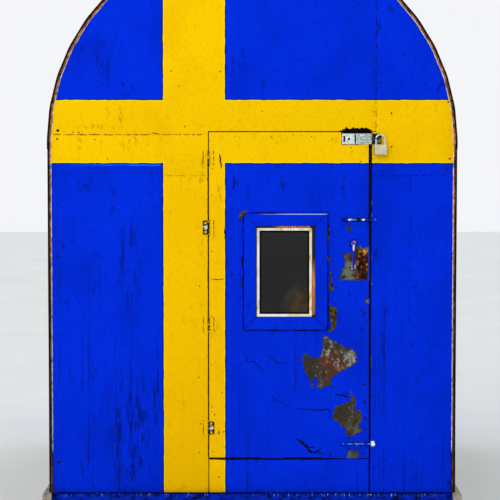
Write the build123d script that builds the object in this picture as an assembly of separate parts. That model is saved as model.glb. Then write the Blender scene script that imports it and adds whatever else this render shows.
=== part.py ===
from build123d import *
import math
import os

# Ice fishing hut on timber runners. Front wall faces -Y, +Z is up, millimetres.
# The origin is on the ground under the middle of the hut.

# ---------------------------------------------------------------- driving dimensions
HUT_WIDTH = 1829.0  # over the side felt
HUT_DEPTH = 2440.0  # over the front and back panels
BASE_HEIGHT = 184.0  # ground to floor, the depth of a runner plank
WALL_HEIGHT = 1586.0  # floor to the first kink of the arched roof
ROOF_FACETS = 20  # long boards that make the arch
ARCH_START_DEGREES = 0.5  # first kink above the centre of the roof's circle
ROOF_OVERHANG = 5.0  # roof boards and side boards past the end panels

RUNNER_THICKNESS = 38.0
RUNNER_PROUD = 23.5  # runner outside the side felt
RUNNER_NOSE = 60.0  # runner past the end panels
RUNNER_NOSE_RADIUS = 120.0

PANEL = 12.0  # plywood end panels, side boards and roof boards
DECK = 18.0  # floor sheet
ROOF_FELT = 5.0
SIDE_FELT = 3.0
FELT_LAP_HEIGHT = 1541.0  # floor to the lower edge of the roof felt
STUD = 38.0  # thickness of all the framing timber
JOIST_DEPTH = 89.0
JOIST_COUNT = 6
RIB_DEPTH = 60.0
SILL_THICKNESS = 38.0
SILL_PROUD = 18.0  # sill board in front of the end panels

JOINT_GAP = 3.0  # open joint between plywood panels
SEAT_GAP = 0.5  # timber ends in the same assembly
BOARD_JOINT = 0.5  # between roof boards
EDGE_GAP = 1.5  # end panels inside the side and roof boards
FIT_GAP = 0.3  # metal on metal, glass in its rebate
CUT = 1.0  # cutting solids run past both faces of what they cut

GIRT_JOINT = 1423.0  # floor to the main horizontal joint of the end panels
HEAD_JOINT_DROP = 10.0  # door top down to the joint of the left strip and the arch panel
SEAM_FROM_DOOR = 27.0  # latch edge to the upright seam of the arch panels
CHIP_WIDTH = 125.0  # broken edge of the arch panel over the door
CHIP_DEPTH = 14.0
CHIP_PROFILE = ((0.06, 0.35), (0.17, 0.8), (0.24, 0.4), (0.5, 0.5), (0.74, 0.7), (0.9, 1.0), (1.0, 0.6))
CHIP_END = 1.05  # the broken edge runs out past its own width

DOOR_LEFT = -193.0  # hinge edge from the hut's middle
DOOR_BOTTOM = 155.0  # above the floor
DOOR_WIDTH = 716.0
DOOR_HEIGHT = 1462.0
DOOR_TAPER = 5.0  # planed off the latch edge at the top
DOOR_GAP = 4.0
LATCH_GAP = 7.0  # at the bottom of the door, where the leaf keeps its full width
DOOR_STOP = 12.0  # door frame behind the edges of the leaf
DOOR_SKIN = 1.0  # sheet steel on the face of the leaf
DOOR_LEAF = 10.0
BATTEN_DEPTH = 19.0
BATTEN_WIDTH = 89.0
BATTEN_CLEARANCE = 9.0
BATTEN_FROM_WINDOW = 10.0
BATTEN_FROM_TOP = 10.0
BATTEN_FROM_BOTTOM = 40.0

WINDOW_FROM_HINGE = 210.0  # hinge edge of the door to the window
WINDOW_RISE = 635.0  # door bottom to the window
WINDOW_WIDTH = 264.0
WINDOW_HEIGHT = 410.0
CASING_WIDTH = 54.0
CASING_DEPTH = 15.0
LINING_LEFT = 3.0
LINING_RIGHT = 14.0
LINING_BOTTOM = 3.0
LINING_TOP = 9.0
LINING_PROUD = 9.0
BEAD_WIDTH = 12.0
BEAD_DEPTH = 10.0
BEAD_SETBACK = 3.0
PANE = 3.0

HINGE_RISES = (137.0, 604.0, 1037.0, 1346.0)  # door bottom to the middle of each hinge
HINGE_LENGTH = 65.0
HINGE_LEAF_WIDTH = 25.0
HINGE_LEAF = 2.0
HINGE_BARREL_RADIUS = 4.5
HINGE_PIN_RADIUS = 2.5
HINGE_PIN_CLEARANCE = 0.1
HINGE_STANDOFF = 4.8  # pin axis in front of the wall face

BOLT_RISES = (65.0, 1072.0)  # door bottom to the middle of each bolt
BOLT_PLATE_INSET = 7.0  # latch edge back to the plate
BOLT_PLATE_LENGTH = 118.0
BOLT_PLATE_WIDTH = 42.0
BOLT_PLATE = 1.5
BOLT_ROD_RADIUS = 4.5
BOLT_THROW = 28.0  # rod tip past the latch edge
BOLT_ROD_LENGTH = 146.0
BOLT_CLEARANCE = 0.4
BOLT_GUIDE_WIDTH = 14.0
BOLT_GUIDE_WALL = 2.0
BOLT_KNOB_RADIUS = 3.5
BOLT_KNOB_HEIGHT = 13.0
BOLT_KNOB_BACK = 83.0  # rod tip back to the knob
KEEPER_FROM_DOOR = 18.0  # latch edge to the middle of the keeper
KEEPER_LENGTH = 15.0

HASP_DROP = 30.0  # door top down to the middle of the hasp
HASP_FROM_EDGE = 58.0  # latch edge back to the hasp's pin
HASP_WIDTH = 47.0
HASP_PLATE_LENGTH = 65.0
HASP_STRAP_LENGTH = 109.0
HASP_CORNER = 8.0
HASP_PLATE = 2.0
HASP_BARREL_RADIUS = 3.5
HASP_PIN_RADIUS = 1.75
HASP_AXIS_STANDOFF = 4.0
SLOT_LENGTH = 30.0
SLOT_HEIGHT = 16.0

STAPLE_RADIUS = 3.0
SHACKLE_RADIUS = 4.0
SHACKLE_SPACING = 38.7  # between the two legs
SHACKLE_STANDOFF = 19.0  # shackle in front of the wall face
STAPLE_FROM_PIN = 84.5  # hasp's pin to the middle of the staple
SHACKLE_TOP_RISE = 22.5  # middle of the hasp to the top of the shackle
SHACKLE_CLEARANCE = 0.5
STAPLE_FOOT = 1.0
STAPLE_FOOT_WIDTH = 30.0
CASE_WIDTH = 56.0
CASE_HEIGHT = 47.5
CASE_DEPTH = 20.0
CASE_DROP = 48.0  # top of the shackle down to the case
CASE_CORNER = 3.0
LEG_IN_CASE = 8.0  # length of each shackle leg inside the case

HANDLE_FROM_EDGE = 72.0
HANDLE_RISE = 855.0  # door bottom to the handle
HANDLE_LENGTH = 118.0
HANDLE_BEND = 14.0
HANDLE_RADIUS = 5.0
HANDLE_REACH = 36.0
HANDLE_FOOT = 20.0
HANDLE_FOOT_THICKNESS = 3.0
LATCH_PLATE_FROM_EDGE = 7.0
LATCH_PLATE_RISE = 805.0  # door bottom to the latch plate
LATCH_PLATE_WIDTH = 50.0
LATCH_PLATE_HEIGHT = 133.0
LATCH_PLATE = 1.2

# ---------------------------------------------------------------- derived places
HALF_WIDTH = HUT_WIDTH / 2
HALF_DEPTH = HUT_DEPTH / 2
FACE_Y = -HALF_DEPTH  # outer face of the front panels
FRAME_Y = FACE_Y + PANEL  # front of the front frame
BOARD_OUT = ROOF_FELT  # inset of the outer face of the boards
BOARD_IN = ROOF_FELT + PANEL
PANEL_EDGE = BOARD_IN + EDGE_GAP
FLOOR = BASE_HEIGHT
DOOR_RIGHT = DOOR_LEFT + DOOR_WIDTH
DOOR_TOP = DOOR_BOTTOM + DOOR_HEIGHT
HEAD_JOINT = DOOR_TOP - HEAD_JOINT_DROP
ARCH_SEAM_X = DOOR_RIGHT + SEAM_FROM_DOOR
RUNNER_OUT = HALF_WIDTH + RUNNER_PROUD
RUNNER_IN = RUNNER_OUT - RUNNER_THICKNESS
INNER_WIDTH = HALF_WIDTH - BOARD_IN
HINGE_X = DOOR_LEFT - DOOR_GAP / 2
HINGE_Y = FACE_Y - HINGE_STANDOFF

os.makedirs("parts", exist_ok=True)


def save(name, *solids):
    """Writes one node. Several solids in one node never touch each other."""
    shape = solids[0] if len(solids) == 1 else Compound(children=list(solids))
    shape.label = name
    export_step(shape, f"parts/{name}.step")


def block(x0, x1, y0, y1, z0, z1):
    """Box between two corners, with z above the floor."""
    size = Box(x1 - x0, y1 - y0, z1 - z0)
    return Pos((x0 + x1) / 2, (y0 + y1) / 2, FLOOR + (z0 + z1) / 2) * size


def plate(points, y0, y1):
    """Flat plate in the XZ plane from a closed outline, z above the floor, between two depths."""
    outline = Polyline(*[(x, FLOOR + z) for x, z in points], close=True)
    sketch = make_face(Plane.XZ.offset(-y0) * outline)
    return extrude(sketch, amount=y1 - y0, dir=(0, 1, 0))


def rod(x, y, z, radius, length, direction):
    """Round bar whose lower end is at the point given, with z above the floor."""
    seat = Plane(origin=(x, y, FLOOR + z), z_dir=direction)
    return seat * Cylinder(radius, length, align=(Align.CENTER, Align.CENTER, Align.MIN))


def mirrored(solid):
    return mirror(solid, about=Plane.YZ)


# ---------------------------------------------------------------- roof outline
# Twenty equal facets whose kinks lie on a circle. The circle's centre is a little
# below the first kink, so the first and last kinks meet the straight side walls.
ARCH_START = math.radians(ARCH_START_DEGREES)
ARCH_RADIUS = HALF_WIDTH / math.cos(ARCH_START)
ARCH_CENTRE = WALL_HEIGHT - ARCH_RADIUS * math.sin(ARCH_START)
FACET_TURN = (math.pi - 2 * ARCH_START) / ROOF_FACETS
APOTHEM = ARCH_RADIUS * math.cos(FACET_TURN / 2)


def side_line(index, inset):
    """Unit normal and distance from the arch centre of wall or facet number index."""
    if index < 0:
        return 0.0, HALF_WIDTH - inset
    if index >= ROOF_FACETS:
        return math.pi, HALF_WIDTH - inset
    return ARCH_START + FACET_TURN * (index + 0.5), APOTHEM - inset


def kink(index, inset):
    """Corner between facet index - 1 and facet index, moved inwards by inset."""
    a, da = side_line(index - 1, inset)
    b, db = side_line(index, inset)
    cross = math.sin(b - a)
    x = (da * math.sin(b) - db * math.sin(a)) / cross
    z = (db * math.cos(a) - da * math.cos(b)) / cross
    return x, ARCH_CENTRE + z


def arch_outline(inset, bottom):
    """Closed outline of the hut's end, from the height bottom up and over."""
    kinks = [kink(i, inset) for i in range(ROOF_FACETS + 1)]
    edge = HALF_WIDTH - inset
    return [(edge, bottom), *kinks, (-edge, bottom)]


def arch_band(outer, inner, bottom, y0, y1):
    """Strip that follows walls and roof between two insets, from the height bottom up."""
    whole = plate(arch_outline(outer, bottom), y0, y1)
    return whole - plate(arch_outline(inner, bottom - CUT), y0 - CUT, y1 + CUT)


# ---------------------------------------------------------------- runners and floor
def make_runner():
    half_length = HALF_DEPTH + RUNNER_NOSE
    side = Plane.YZ * Rectangle(2 * half_length, BASE_HEIGHT)
    plank = extrude(side, RUNNER_THICKNESS)
    plank = Pos(RUNNER_IN, 0, BASE_HEIGHT / 2) * plank
    low_ends = plank.edges().filter_by(Axis.X).group_by(Axis.Z)[0]
    return fillet(low_ends, RUNNER_NOSE_RADIUS)


runner = make_runner()
save("runner_right", runner)
save("runner_left", mirrored(runner))

deck_y = HALF_DEPTH + SILL_PROUD - SILL_THICKNESS
save("floor_deck", block(-RUNNER_IN, RUNNER_IN, -deck_y, deck_y, -DECK, 0))

joist_bottom = -DECK - JOIST_DEPTH
joist_pitch = (2 * deck_y - 2 * STUD) / (JOIST_COUNT - 1)
joists = []
for i in range(JOIST_COUNT):
    y = -deck_y + i * joist_pitch
    joists.append(block(-RUNNER_IN, RUNNER_IN, y, y + STUD, joist_bottom, -DECK))
save("floor_joists", *joists)

sill = block(-RUNNER_IN, RUNNER_IN, FACE_Y - SILL_PROUD, -deck_y, joist_bottom, 0)
save("sill_front", sill)
save("sill_back", mirror(sill, about=Plane.XZ))

# ---------------------------------------------------------------- side walls
BOARD_END = HALF_DEPTH + ROOF_OVERHANG
wall_top = kink(0, BOARD_IN)[1]
wall_out = HALF_WIDTH - BOARD_OUT
wall = block(wall_out - PANEL, wall_out, -BOARD_END, BOARD_END, 0, wall_top)
save("wall_right", wall)
save("wall_left", mirrored(wall))

side_felt = block(wall_out, wall_out + SIDE_FELT, -BOARD_END, BOARD_END, 0, FELT_LAP_HEIGHT)
save("side_felt", side_felt, mirrored(side_felt))

STUD_Y = HALF_DEPTH - PANEL - STUD / 2  # middle of the end frames
plate_top = WALL_HEIGHT - STUD / 2
stud_x = (INNER_WIDTH - STUD, INNER_WIDTH)
studs = []
for y in (-STUD_Y, -STUD_Y / 2, 0, STUD_Y / 2, STUD_Y):
    stud = block(*stud_x, y - STUD / 2, y + STUD / 2, STUD, plate_top - STUD)
    studs += [stud, mirrored(stud)]
save("side_studs", *studs)

side_plates = []
for z in (0, plate_top - STUD):
    rail = block(*stud_x, -STUD_Y - STUD / 2, STUD_Y + STUD / 2, z, z + STUD)
    side_plates += [rail, mirrored(rail)]
save("side_plates", *side_plates)

# ---------------------------------------------------------------- roof
BOARD_WIDTH = 2 * (APOTHEM - BOARD_OUT) * math.tan(FACET_TURN / 2)
board_space = Box(4 * PANEL, 4 * BOARD_END, BOARD_WIDTH - BOARD_JOINT)
roof_boards = []
for i in range(ROOF_FACETS):
    corners = [kink(i, BOARD_OUT), kink(i + 1, BOARD_OUT), kink(i + 1, BOARD_IN), kink(i, BOARD_IN)]
    board = plate(corners, -BOARD_END, BOARD_END)
    angle = ARCH_START + FACET_TURN * (i + 0.5)
    middle = Vector(math.cos(angle), 0, math.sin(angle)) * APOTHEM
    place = Pos(middle.X, 0, FLOOR + ARCH_CENTRE + middle.Z) * Rot(0, -math.degrees(angle), 0)
    roof_boards.append((board & (place * board_space)).solid())
save("roof_boards", *roof_boards)

save("roof_felt", arch_band(0, ROOF_FELT, FELT_LAP_HEIGHT, -BOARD_END, BOARD_END))

RIB_IN = BOARD_IN + RIB_DEPTH
ribs = []
for y in (-STUD_Y, 0, STUD_Y):
    ribs.append(arch_band(BOARD_IN, RIB_IN, plate_top, y - STUD / 2, y + STUD / 2))
save("arch_ribs", *ribs)

# ---------------------------------------------------------------- front panels
PANEL_SIDE = HALF_WIDTH - PANEL_EDGE
FRONT = (FACE_Y, FACE_Y + PANEL)
half_joint = JOINT_GAP / 2
hinge_panel_edge = DOOR_LEFT - DOOR_GAP
latch_panel_edge = DOOR_RIGHT + LATCH_GAP

left_x = (-PANEL_SIDE, hinge_panel_edge)
right_x = (latch_panel_edge, PANEL_SIDE)

save("front_panel_left", block(*left_x, *FRONT, 0, GIRT_JOINT - half_joint))
save("front_panel_right", block(*right_x, *FRONT, 0, GIRT_JOINT - half_joint))
save("front_panel_under_door", block(DOOR_LEFT, DOOR_RIGHT, *FRONT, 0, DOOR_BOTTOM - DOOR_GAP))

arch_sheet = plate(arch_outline(PANEL_EDGE, 0), *FRONT)
head = DOOR_TOP + DOOR_GAP
sheet_top = WALL_HEIGHT + 2 * HALF_WIDTH

strip_left = block(*left_x, *FRONT, GIRT_JOINT + half_joint, HEAD_JOINT - half_joint)
save("front_strip_left", (strip_left & arch_sheet).solid())

left_of_seam = block(-HALF_WIDTH, ARCH_SEAM_X - half_joint, *FRONT, head, sheet_top)
left_of_door = block(-HALF_WIDTH, hinge_panel_edge, *FRONT, HEAD_JOINT + half_joint, head)
chip_left = DOOR_RIGHT - CHIP_WIDTH
chip_points = [(chip_left, head - CUT)]
chip_points += [(chip_left + along * CHIP_WIDTH, head + up * CHIP_DEPTH) for along, up in CHIP_PROFILE]
chip_points.append((chip_left + CHIP_END * CHIP_WIDTH, head - CUT))
chip = plate(chip_points, FACE_Y - CUT, FRAME_Y + CUT)
save("front_arch_left", (((left_of_seam + left_of_door) & arch_sheet) - chip).solid())

right_of_seam = block(ARCH_SEAM_X + half_joint, HALF_WIDTH, *FRONT, head, sheet_top)
right_of_door = block(latch_panel_edge, HALF_WIDTH, *FRONT, GIRT_JOINT + half_joint, head - JOINT_GAP)
right_neck = block(ARCH_SEAM_X + half_joint, HALF_WIDTH, *FRONT, head - JOINT_GAP, head)
save("front_arch_right", ((right_of_seam + right_of_door + right_neck) & arch_sheet).solid())

# ---------------------------------------------------------------- front frame
FRAME = (FRAME_Y, FRAME_Y + STUD)
POST_TOP = arch_outline(RIB_IN + FIT_GAP, 0)  # uprights end just under the rib
under_rib = plate(POST_TOP, FRAME[0] - CUT, FRAME[1] + CUT)
post_left = DOOR_LEFT + DOOR_STOP - STUD
post_right = DOOR_RIGHT - DOOR_TAPER - DOOR_STOP
posts = []
for x in (post_left, post_right):
    posts.append((block(x, x + STUD, *FRAME, 0, sheet_top) & under_rib).solid())
save("door_posts", *posts)

inner_left = post_left + STUD + SEAT_GAP
inner_right = post_right - SEAT_GAP
header_bottom = DOOR_TOP - DOOR_STOP
rail_top = DOOR_BOTTOM + DOOR_STOP

bay_end = INNER_WIDTH - STUD - SEAT_GAP
left_bay = (-bay_end, post_left - SEAT_GAP)
right_bay = (post_right + STUD + SEAT_GAP, bay_end)
rail_bottoms = (0, GIRT_JOINT - STUD / 2)
front_rails = [
    block(inner_left, inner_right, *FRAME, header_bottom, header_bottom + STUD),
    block(inner_left, inner_right, *FRAME, rail_top - STUD, rail_top),
]
for z in rail_bottoms:
    front_rails.append(block(*left_bay, *FRAME, z, z + STUD))
    front_rails.append(block(*right_bay, *FRAME, z, z + STUD))
save("front_rails", *front_rails)

# ---------------------------------------------------------------- back wall
BACK = (HALF_DEPTH - PANEL, HALF_DEPTH)
back_left = block(-PANEL_SIDE, -half_joint, *BACK, 0, GIRT_JOINT - half_joint)
save("back_panels", back_left, mirrored(back_left))
back_sheet = plate(arch_outline(PANEL_EDGE, 0), *BACK)
back_top = block(-HALF_WIDTH, HALF_WIDTH, *BACK, GIRT_JOINT + half_joint, sheet_top)
save("back_arch_panel", (back_top & back_sheet).solid())

BACK_FRAME = (HALF_DEPTH - PANEL - STUD, HALF_DEPTH - PANEL)
under_back_rib = plate(POST_TOP, BACK_FRAME[0] - CUT, BACK_FRAME[1] + CUT)
back_post = (block(-STUD / 2, STUD / 2, *BACK_FRAME, 0, sheet_top) & under_back_rib).solid()
back_members = [back_post]
for z in rail_bottoms:
    rail = block(STUD / 2 + SEAT_GAP, bay_end, *BACK_FRAME, z, z + STUD)
    back_members += [rail, mirrored(rail)]
save("back_frame", *back_members)

# ---------------------------------------------------------------- door leaf
LEAF_FRONT = FACE_Y + DOOR_SKIN
leaf_outline = [
    (DOOR_LEFT, DOOR_BOTTOM),
    (DOOR_RIGHT, DOOR_BOTTOM),
    (DOOR_RIGHT - DOOR_TAPER, DOOR_TOP),
    (DOOR_LEFT, DOOR_TOP),
]
WINDOW_LEFT = DOOR_LEFT + WINDOW_FROM_HINGE
WINDOW_RIGHT = WINDOW_LEFT + WINDOW_WIDTH
WINDOW_BOTTOM = DOOR_BOTTOM + WINDOW_RISE
WINDOW_TOP = WINDOW_BOTTOM + WINDOW_HEIGHT
LEAF_BACK = LEAF_FRONT + DOOR_LEAF
window = (WINDOW_LEFT, WINDOW_RIGHT)
window_hole = block(*window, FACE_Y - CUT, LEAF_BACK + CUT, WINDOW_BOTTOM, WINDOW_TOP)
save("door_leaf", plate(leaf_outline, LEAF_FRONT, LEAF_BACK) - window_hole)
save("door_skin", plate(leaf_outline, FACE_Y, LEAF_FRONT) - window_hole)

batten_left = DOOR_LEFT + DOOR_STOP + BATTEN_CLEARANCE
batten_right = DOOR_RIGHT - DOOR_TAPER - DOOR_STOP - BATTEN_CLEARANCE
batten_bottoms = (
    rail_top + BATTEN_CLEARANCE + BATTEN_FROM_BOTTOM,
    WINDOW_BOTTOM - BATTEN_WIDTH - BATTEN_FROM_WINDOW,
    WINDOW_TOP + BATTEN_FROM_WINDOW,
    header_bottom - BATTEN_CLEARANCE - BATTEN_WIDTH - BATTEN_FROM_TOP,
)
BATTEN_Y = (LEAF_BACK, LEAF_BACK + BATTEN_DEPTH)
battens = [block(batten_left, batten_right, *BATTEN_Y, z, z + BATTEN_WIDTH) for z in batten_bottoms]
save("door_battens", *battens)

# ---------------------------------------------------------------- door window
CASING_Y = (FACE_Y - CASING_DEPTH, FACE_Y)
casing_left_x = WINDOW_LEFT - CASING_WIDTH
casing_right_x = WINDOW_RIGHT + CASING_WIDTH
casing_low = WINDOW_BOTTOM - CASING_WIDTH
casing_high = WINDOW_TOP + CASING_WIDTH


def casing_board(outer, inner, shift):
    """Mitred board between its outer and inner edges, ends shifted off the mitre by half a gap."""
    (ax, az), (bx, bz) = outer
    (cx, cz), (dx, dz) = inner
    sx, sz = shift
    points = [(ax + sx, az + sz), (bx - sx, bz - sz), (cx - sx, cz - sz), (dx + sx, dz + sz)]
    return plate(points, *CASING_Y)


level = (SEAT_GAP, 0)
upright = (0, SEAT_GAP)
casing = []
for outer_z, inner_z in ((casing_low, WINDOW_BOTTOM), (casing_high, WINDOW_TOP)):
    outer_edge = ((casing_left_x, outer_z), (casing_right_x, outer_z))
    inner_edge = ((WINDOW_RIGHT, inner_z), (WINDOW_LEFT, inner_z))
    casing.append(casing_board(outer_edge, inner_edge, level))
for outer_x, inner_x in ((casing_left_x, WINDOW_LEFT), (casing_right_x, WINDOW_RIGHT)):
    outer_edge = ((outer_x, casing_low), (outer_x, casing_high))
    inner_edge = ((inner_x, WINDOW_TOP), (inner_x, WINDOW_BOTTOM))
    casing.append(casing_board(outer_edge, inner_edge, upright))
save("window_casing", *casing)

glass_x = (WINDOW_LEFT + LINING_LEFT, WINDOW_RIGHT - LINING_RIGHT)
glass_z = (WINDOW_BOTTOM + LINING_BOTTOM, WINDOW_TOP - LINING_TOP)
lining_front = FACE_Y - LINING_PROUD
lining_back = LEAF_BACK + BATTEN_DEPTH / 2
lining = block(*window, lining_front, lining_back, WINDOW_BOTTOM, WINDOW_TOP)
lining -= block(*glass_x, lining_front - CUT, lining_back + CUT, *glass_z)
save("window_lining", lining)


def shrunk(span, by):
    return span[0] + by, span[1] - by


bead_front = lining_front + BEAD_SETBACK
bead_back = bead_front + BEAD_DEPTH
sight_x = shrunk(glass_x, BEAD_WIDTH)
sight_z = shrunk(glass_z, BEAD_WIDTH)
bead = block(*glass_x, bead_front, bead_back, *glass_z)
bead -= block(*sight_x, bead_front - CUT, bead_back + CUT, *sight_z)
save("window_bead", bead)

pane = block(*shrunk(glass_x, FIT_GAP), bead_back, bead_back + PANE, *shrunk(glass_z, FIT_GAP))
save("window_pane", pane)

# ---------------------------------------------------------------- door hinges
KNUCKLES = 5
KNUCKLE = HINGE_LENGTH / KNUCKLES
HINGE_CLEAR = HINGE_BARREL_RADIUS + FIT_GAP
UP = (0, 0, 1)


def hinge_leaf(side, low, own, other):
    """Flat leaf on one side of the pin, cut back round the other leaf's knuckles."""
    far = HINGE_X + side * HINGE_LEAF_WIDTH
    span = (min(HINGE_X, far), max(HINGE_X, far))
    leaf = block(*span, FACE_Y - HINGE_LEAF, FACE_Y, low, low + HINGE_LENGTH)
    notch_x = (HINGE_X - HINGE_CLEAR, HINGE_X + HINGE_CLEAR)
    for k in other:
        start = low + k * KNUCKLE - FIT_GAP
        end = low + (k + 1) * KNUCKLE + FIT_GAP
        leaf -= block(*notch_x, HINGE_Y - HINGE_CLEAR, FACE_Y + CUT, start, end)
    for k in own:
        start = low + k * KNUCKLE + (FIT_GAP / 2 if k > 0 else 0)
        end = low + (k + 1) * KNUCKLE - (FIT_GAP / 2 if k < KNUCKLES - 1 else 0)
        leaf += rod(HINGE_X, HINGE_Y, start, HINGE_BARREL_RADIUS, end - start, UP)
    return leaf


def make_hinge(centre):
    """Leaf screwed to the wall with its pin, and leaf screwed to the door."""
    low = centre - HINGE_LENGTH / 2
    wall_knuckles = range(0, KNUCKLES, 2)
    door_knuckles = range(1, KNUCKLES, 2)
    wall_leaf = hinge_leaf(-1, low, wall_knuckles, door_knuckles)
    wall_leaf += rod(HINGE_X, HINGE_Y, low, HINGE_PIN_RADIUS, HINGE_LENGTH, UP)
    swing_leaf = hinge_leaf(1, low, door_knuckles, wall_knuckles)
    bore_radius = HINGE_PIN_RADIUS + HINGE_PIN_CLEARANCE
    swing_leaf -= rod(HINGE_X, HINGE_Y, low - CUT, bore_radius, HINGE_LENGTH + 2 * CUT, UP)
    return wall_leaf.solid(), swing_leaf.solid()


hinges = [make_hinge(DOOR_BOTTOM + rise) for rise in HINGE_RISES]
save("hinge_leaves_wall", *[pair[0] for pair in hinges])
save("hinge_leaves_door", *[pair[1] for pair in hinges])

# ---------------------------------------------------------------- tower bolts
BOLT_AXIS_Y = FACE_Y - BOLT_PLATE - BOLT_CLEARANCE - BOLT_ROD_RADIUS


def bolt_bridge(x0, x1, z):
    """Strap bent over the rod, with feet on the same plane as the plate."""
    hole = BOLT_ROD_RADIUS + BOLT_CLEARANCE
    arm = hole + BOLT_GUIDE_WALL
    top = FACE_Y - BOLT_PLATE - 2 * hole - BOLT_GUIDE_WALL
    bridge = block(x0, x1, top, FACE_Y - BOLT_PLATE, z - arm, z + arm)
    bridge -= block(x0 - CUT, x1 + CUT, top + BOLT_GUIDE_WALL, FACE_Y, z - hole, z + hole)
    return bridge


bolt_heights = [DOOR_BOTTOM + rise for rise in BOLT_RISES]
bolt_right = DOOR_RIGHT - BOLT_PLATE_INSET
bolt_left = bolt_right - BOLT_PLATE_LENGTH
keeper_left = DOOR_RIGHT + KEEPER_FROM_DOOR - KEEPER_LENGTH / 2
keeper_right = keeper_left + KEEPER_LENGTH
plate_half = BOLT_PLATE_WIDTH / 2
plate_y = (FACE_Y - BOLT_PLATE, FACE_Y)
bolt_plates = []
keepers = []
for z in bolt_heights:
    base = block(bolt_left, bolt_right, *plate_y, z - plate_half, z + plate_half)
    base += bolt_bridge(bolt_left + BOLT_GUIDE_WIDTH, bolt_left + 2 * BOLT_GUIDE_WIDTH, z)
    base += bolt_bridge(bolt_right - BOLT_GUIDE_WIDTH, bolt_right, z)
    bolt_plates.append(base.solid())
    keeper = block(keeper_left, keeper_right, *plate_y, z - plate_half, z + plate_half)
    keeper += bolt_bridge(keeper_left, keeper_right, z)
    keepers.append(keeper.solid())
save("bolt_plates", *bolt_plates)
save("bolt_keepers", *keepers)

rod_tip = DOOR_RIGHT + BOLT_THROW
knob_x = rod_tip - BOLT_KNOB_BACK
knob_length = BOLT_ROD_RADIUS + BOLT_KNOB_HEIGHT
for name, z in zip(("bolt_rod_lower", "bolt_rod_upper"), bolt_heights):
    rod_start = rod_tip - BOLT_ROD_LENGTH
    bolt = rod(rod_start, BOLT_AXIS_Y, z, BOLT_ROD_RADIUS, BOLT_ROD_LENGTH, (1, 0, 0))
    bolt += rod(knob_x, BOLT_AXIS_Y, z, BOLT_KNOB_RADIUS, knob_length, (0, -1, 0))
    save(name, bolt.solid())

# ---------------------------------------------------------------- hasp
HASP_KNUCKLES = 3
HASP_AXIS_X = DOOR_RIGHT - HASP_FROM_EDGE
HASP_AXIS_Y = FACE_Y - HASP_AXIS_STANDOFF
hasp_middle = DOOR_TOP - HASP_DROP
hasp_low = hasp_middle - HASP_WIDTH / 2
hasp_high = hasp_low + HASP_WIDTH
hasp_pitch = HASP_WIDTH / HASP_KNUCKLES
strap_back = HASP_AXIS_Y + HASP_PLATE / 2
strap_front = strap_back - HASP_PLATE
plate_left = HASP_AXIS_X - HASP_PLATE_LENGTH
strap_right = HASP_AXIS_X + HASP_STRAP_LENGTH
hasp_plate = block(plate_left, HASP_AXIS_X, FACE_Y - HASP_PLATE, FACE_Y, hasp_low, hasp_high)
hasp_strap = block(HASP_AXIS_X, strap_right, strap_front, strap_back, hasp_low, hasp_high)
strap_corners = hasp_strap.edges().filter_by(Axis.Y).group_by(Axis.X)[-1]
hasp_strap = fillet(strap_corners, HASP_CORNER)

hasp_clear = HASP_BARREL_RADIUS + FIT_GAP
notch_x = (HASP_AXIS_X - hasp_clear, HASP_AXIS_X + hasp_clear)
notch_y = (HASP_AXIS_Y - hasp_clear, FACE_Y + CUT)
for k in range(HASP_KNUCKLES):
    start = hasp_low + k * hasp_pitch
    barrel = rod(
        HASP_AXIS_X, HASP_AXIS_Y, start + FIT_GAP / 2, HASP_BARREL_RADIUS, hasp_pitch - FIT_GAP, UP
    )
    notch = block(*notch_x, *notch_y, start - FIT_GAP / 2, start + hasp_pitch + FIT_GAP / 2)
    if k == 1:
        hasp_plate -= notch
        hasp_strap += barrel
    else:
        hasp_strap -= notch
        hasp_plate += barrel
bore_radius = HASP_PIN_RADIUS + HINGE_PIN_CLEARANCE
pin_low = hasp_low + FIT_GAP / 2
hasp_strap -= rod(HASP_AXIS_X, HASP_AXIS_Y, hasp_low, bore_radius, HASP_WIDTH, UP)
hasp_plate += rod(HASP_AXIS_X, HASP_AXIS_Y, pin_low, HASP_PIN_RADIUS, HASP_WIDTH - FIT_GAP, UP)

# The staple loop lies level, and the left leg of the padlock's shackle hangs through it.
# The shackle's bow rests on the outer leg of the loop.
SHACKLE_LEG_X = HASP_AXIS_X + STAPLE_FROM_PIN
shackle_top = hasp_middle + SHACKLE_TOP_RISE
bow_radius = SHACKLE_SPACING / 2
bow_centre_z = shackle_top - SHACKLE_RADIUS - bow_radius
bow_centre_x = SHACKLE_LEG_X + bow_radius
loop_half = SHACKLE_RADIUS + SHACKLE_CLEARANCE + STAPLE_RADIUS
rest_offset = bow_centre_x - (SHACKLE_LEG_X + loop_half)
rest_reach = bow_radius - SHACKLE_RADIUS - STAPLE_RADIUS - FIT_GAP
STAPLE_Z = bow_centre_z + math.sqrt(rest_reach**2 - rest_offset**2)
slot_x = (SHACKLE_LEG_X - SLOT_LENGTH / 2, SHACKLE_LEG_X + SLOT_LENGTH / 2)
slot_z = (STAPLE_Z - SLOT_HEIGHT / 2, STAPLE_Z + SLOT_HEIGHT / 2)
hasp_strap -= block(*slot_x, strap_front - CUT, strap_back + CUT, *slot_z)
save("hasp_plate", hasp_plate.solid())
save("hasp_strap", hasp_strap.solid())

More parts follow.
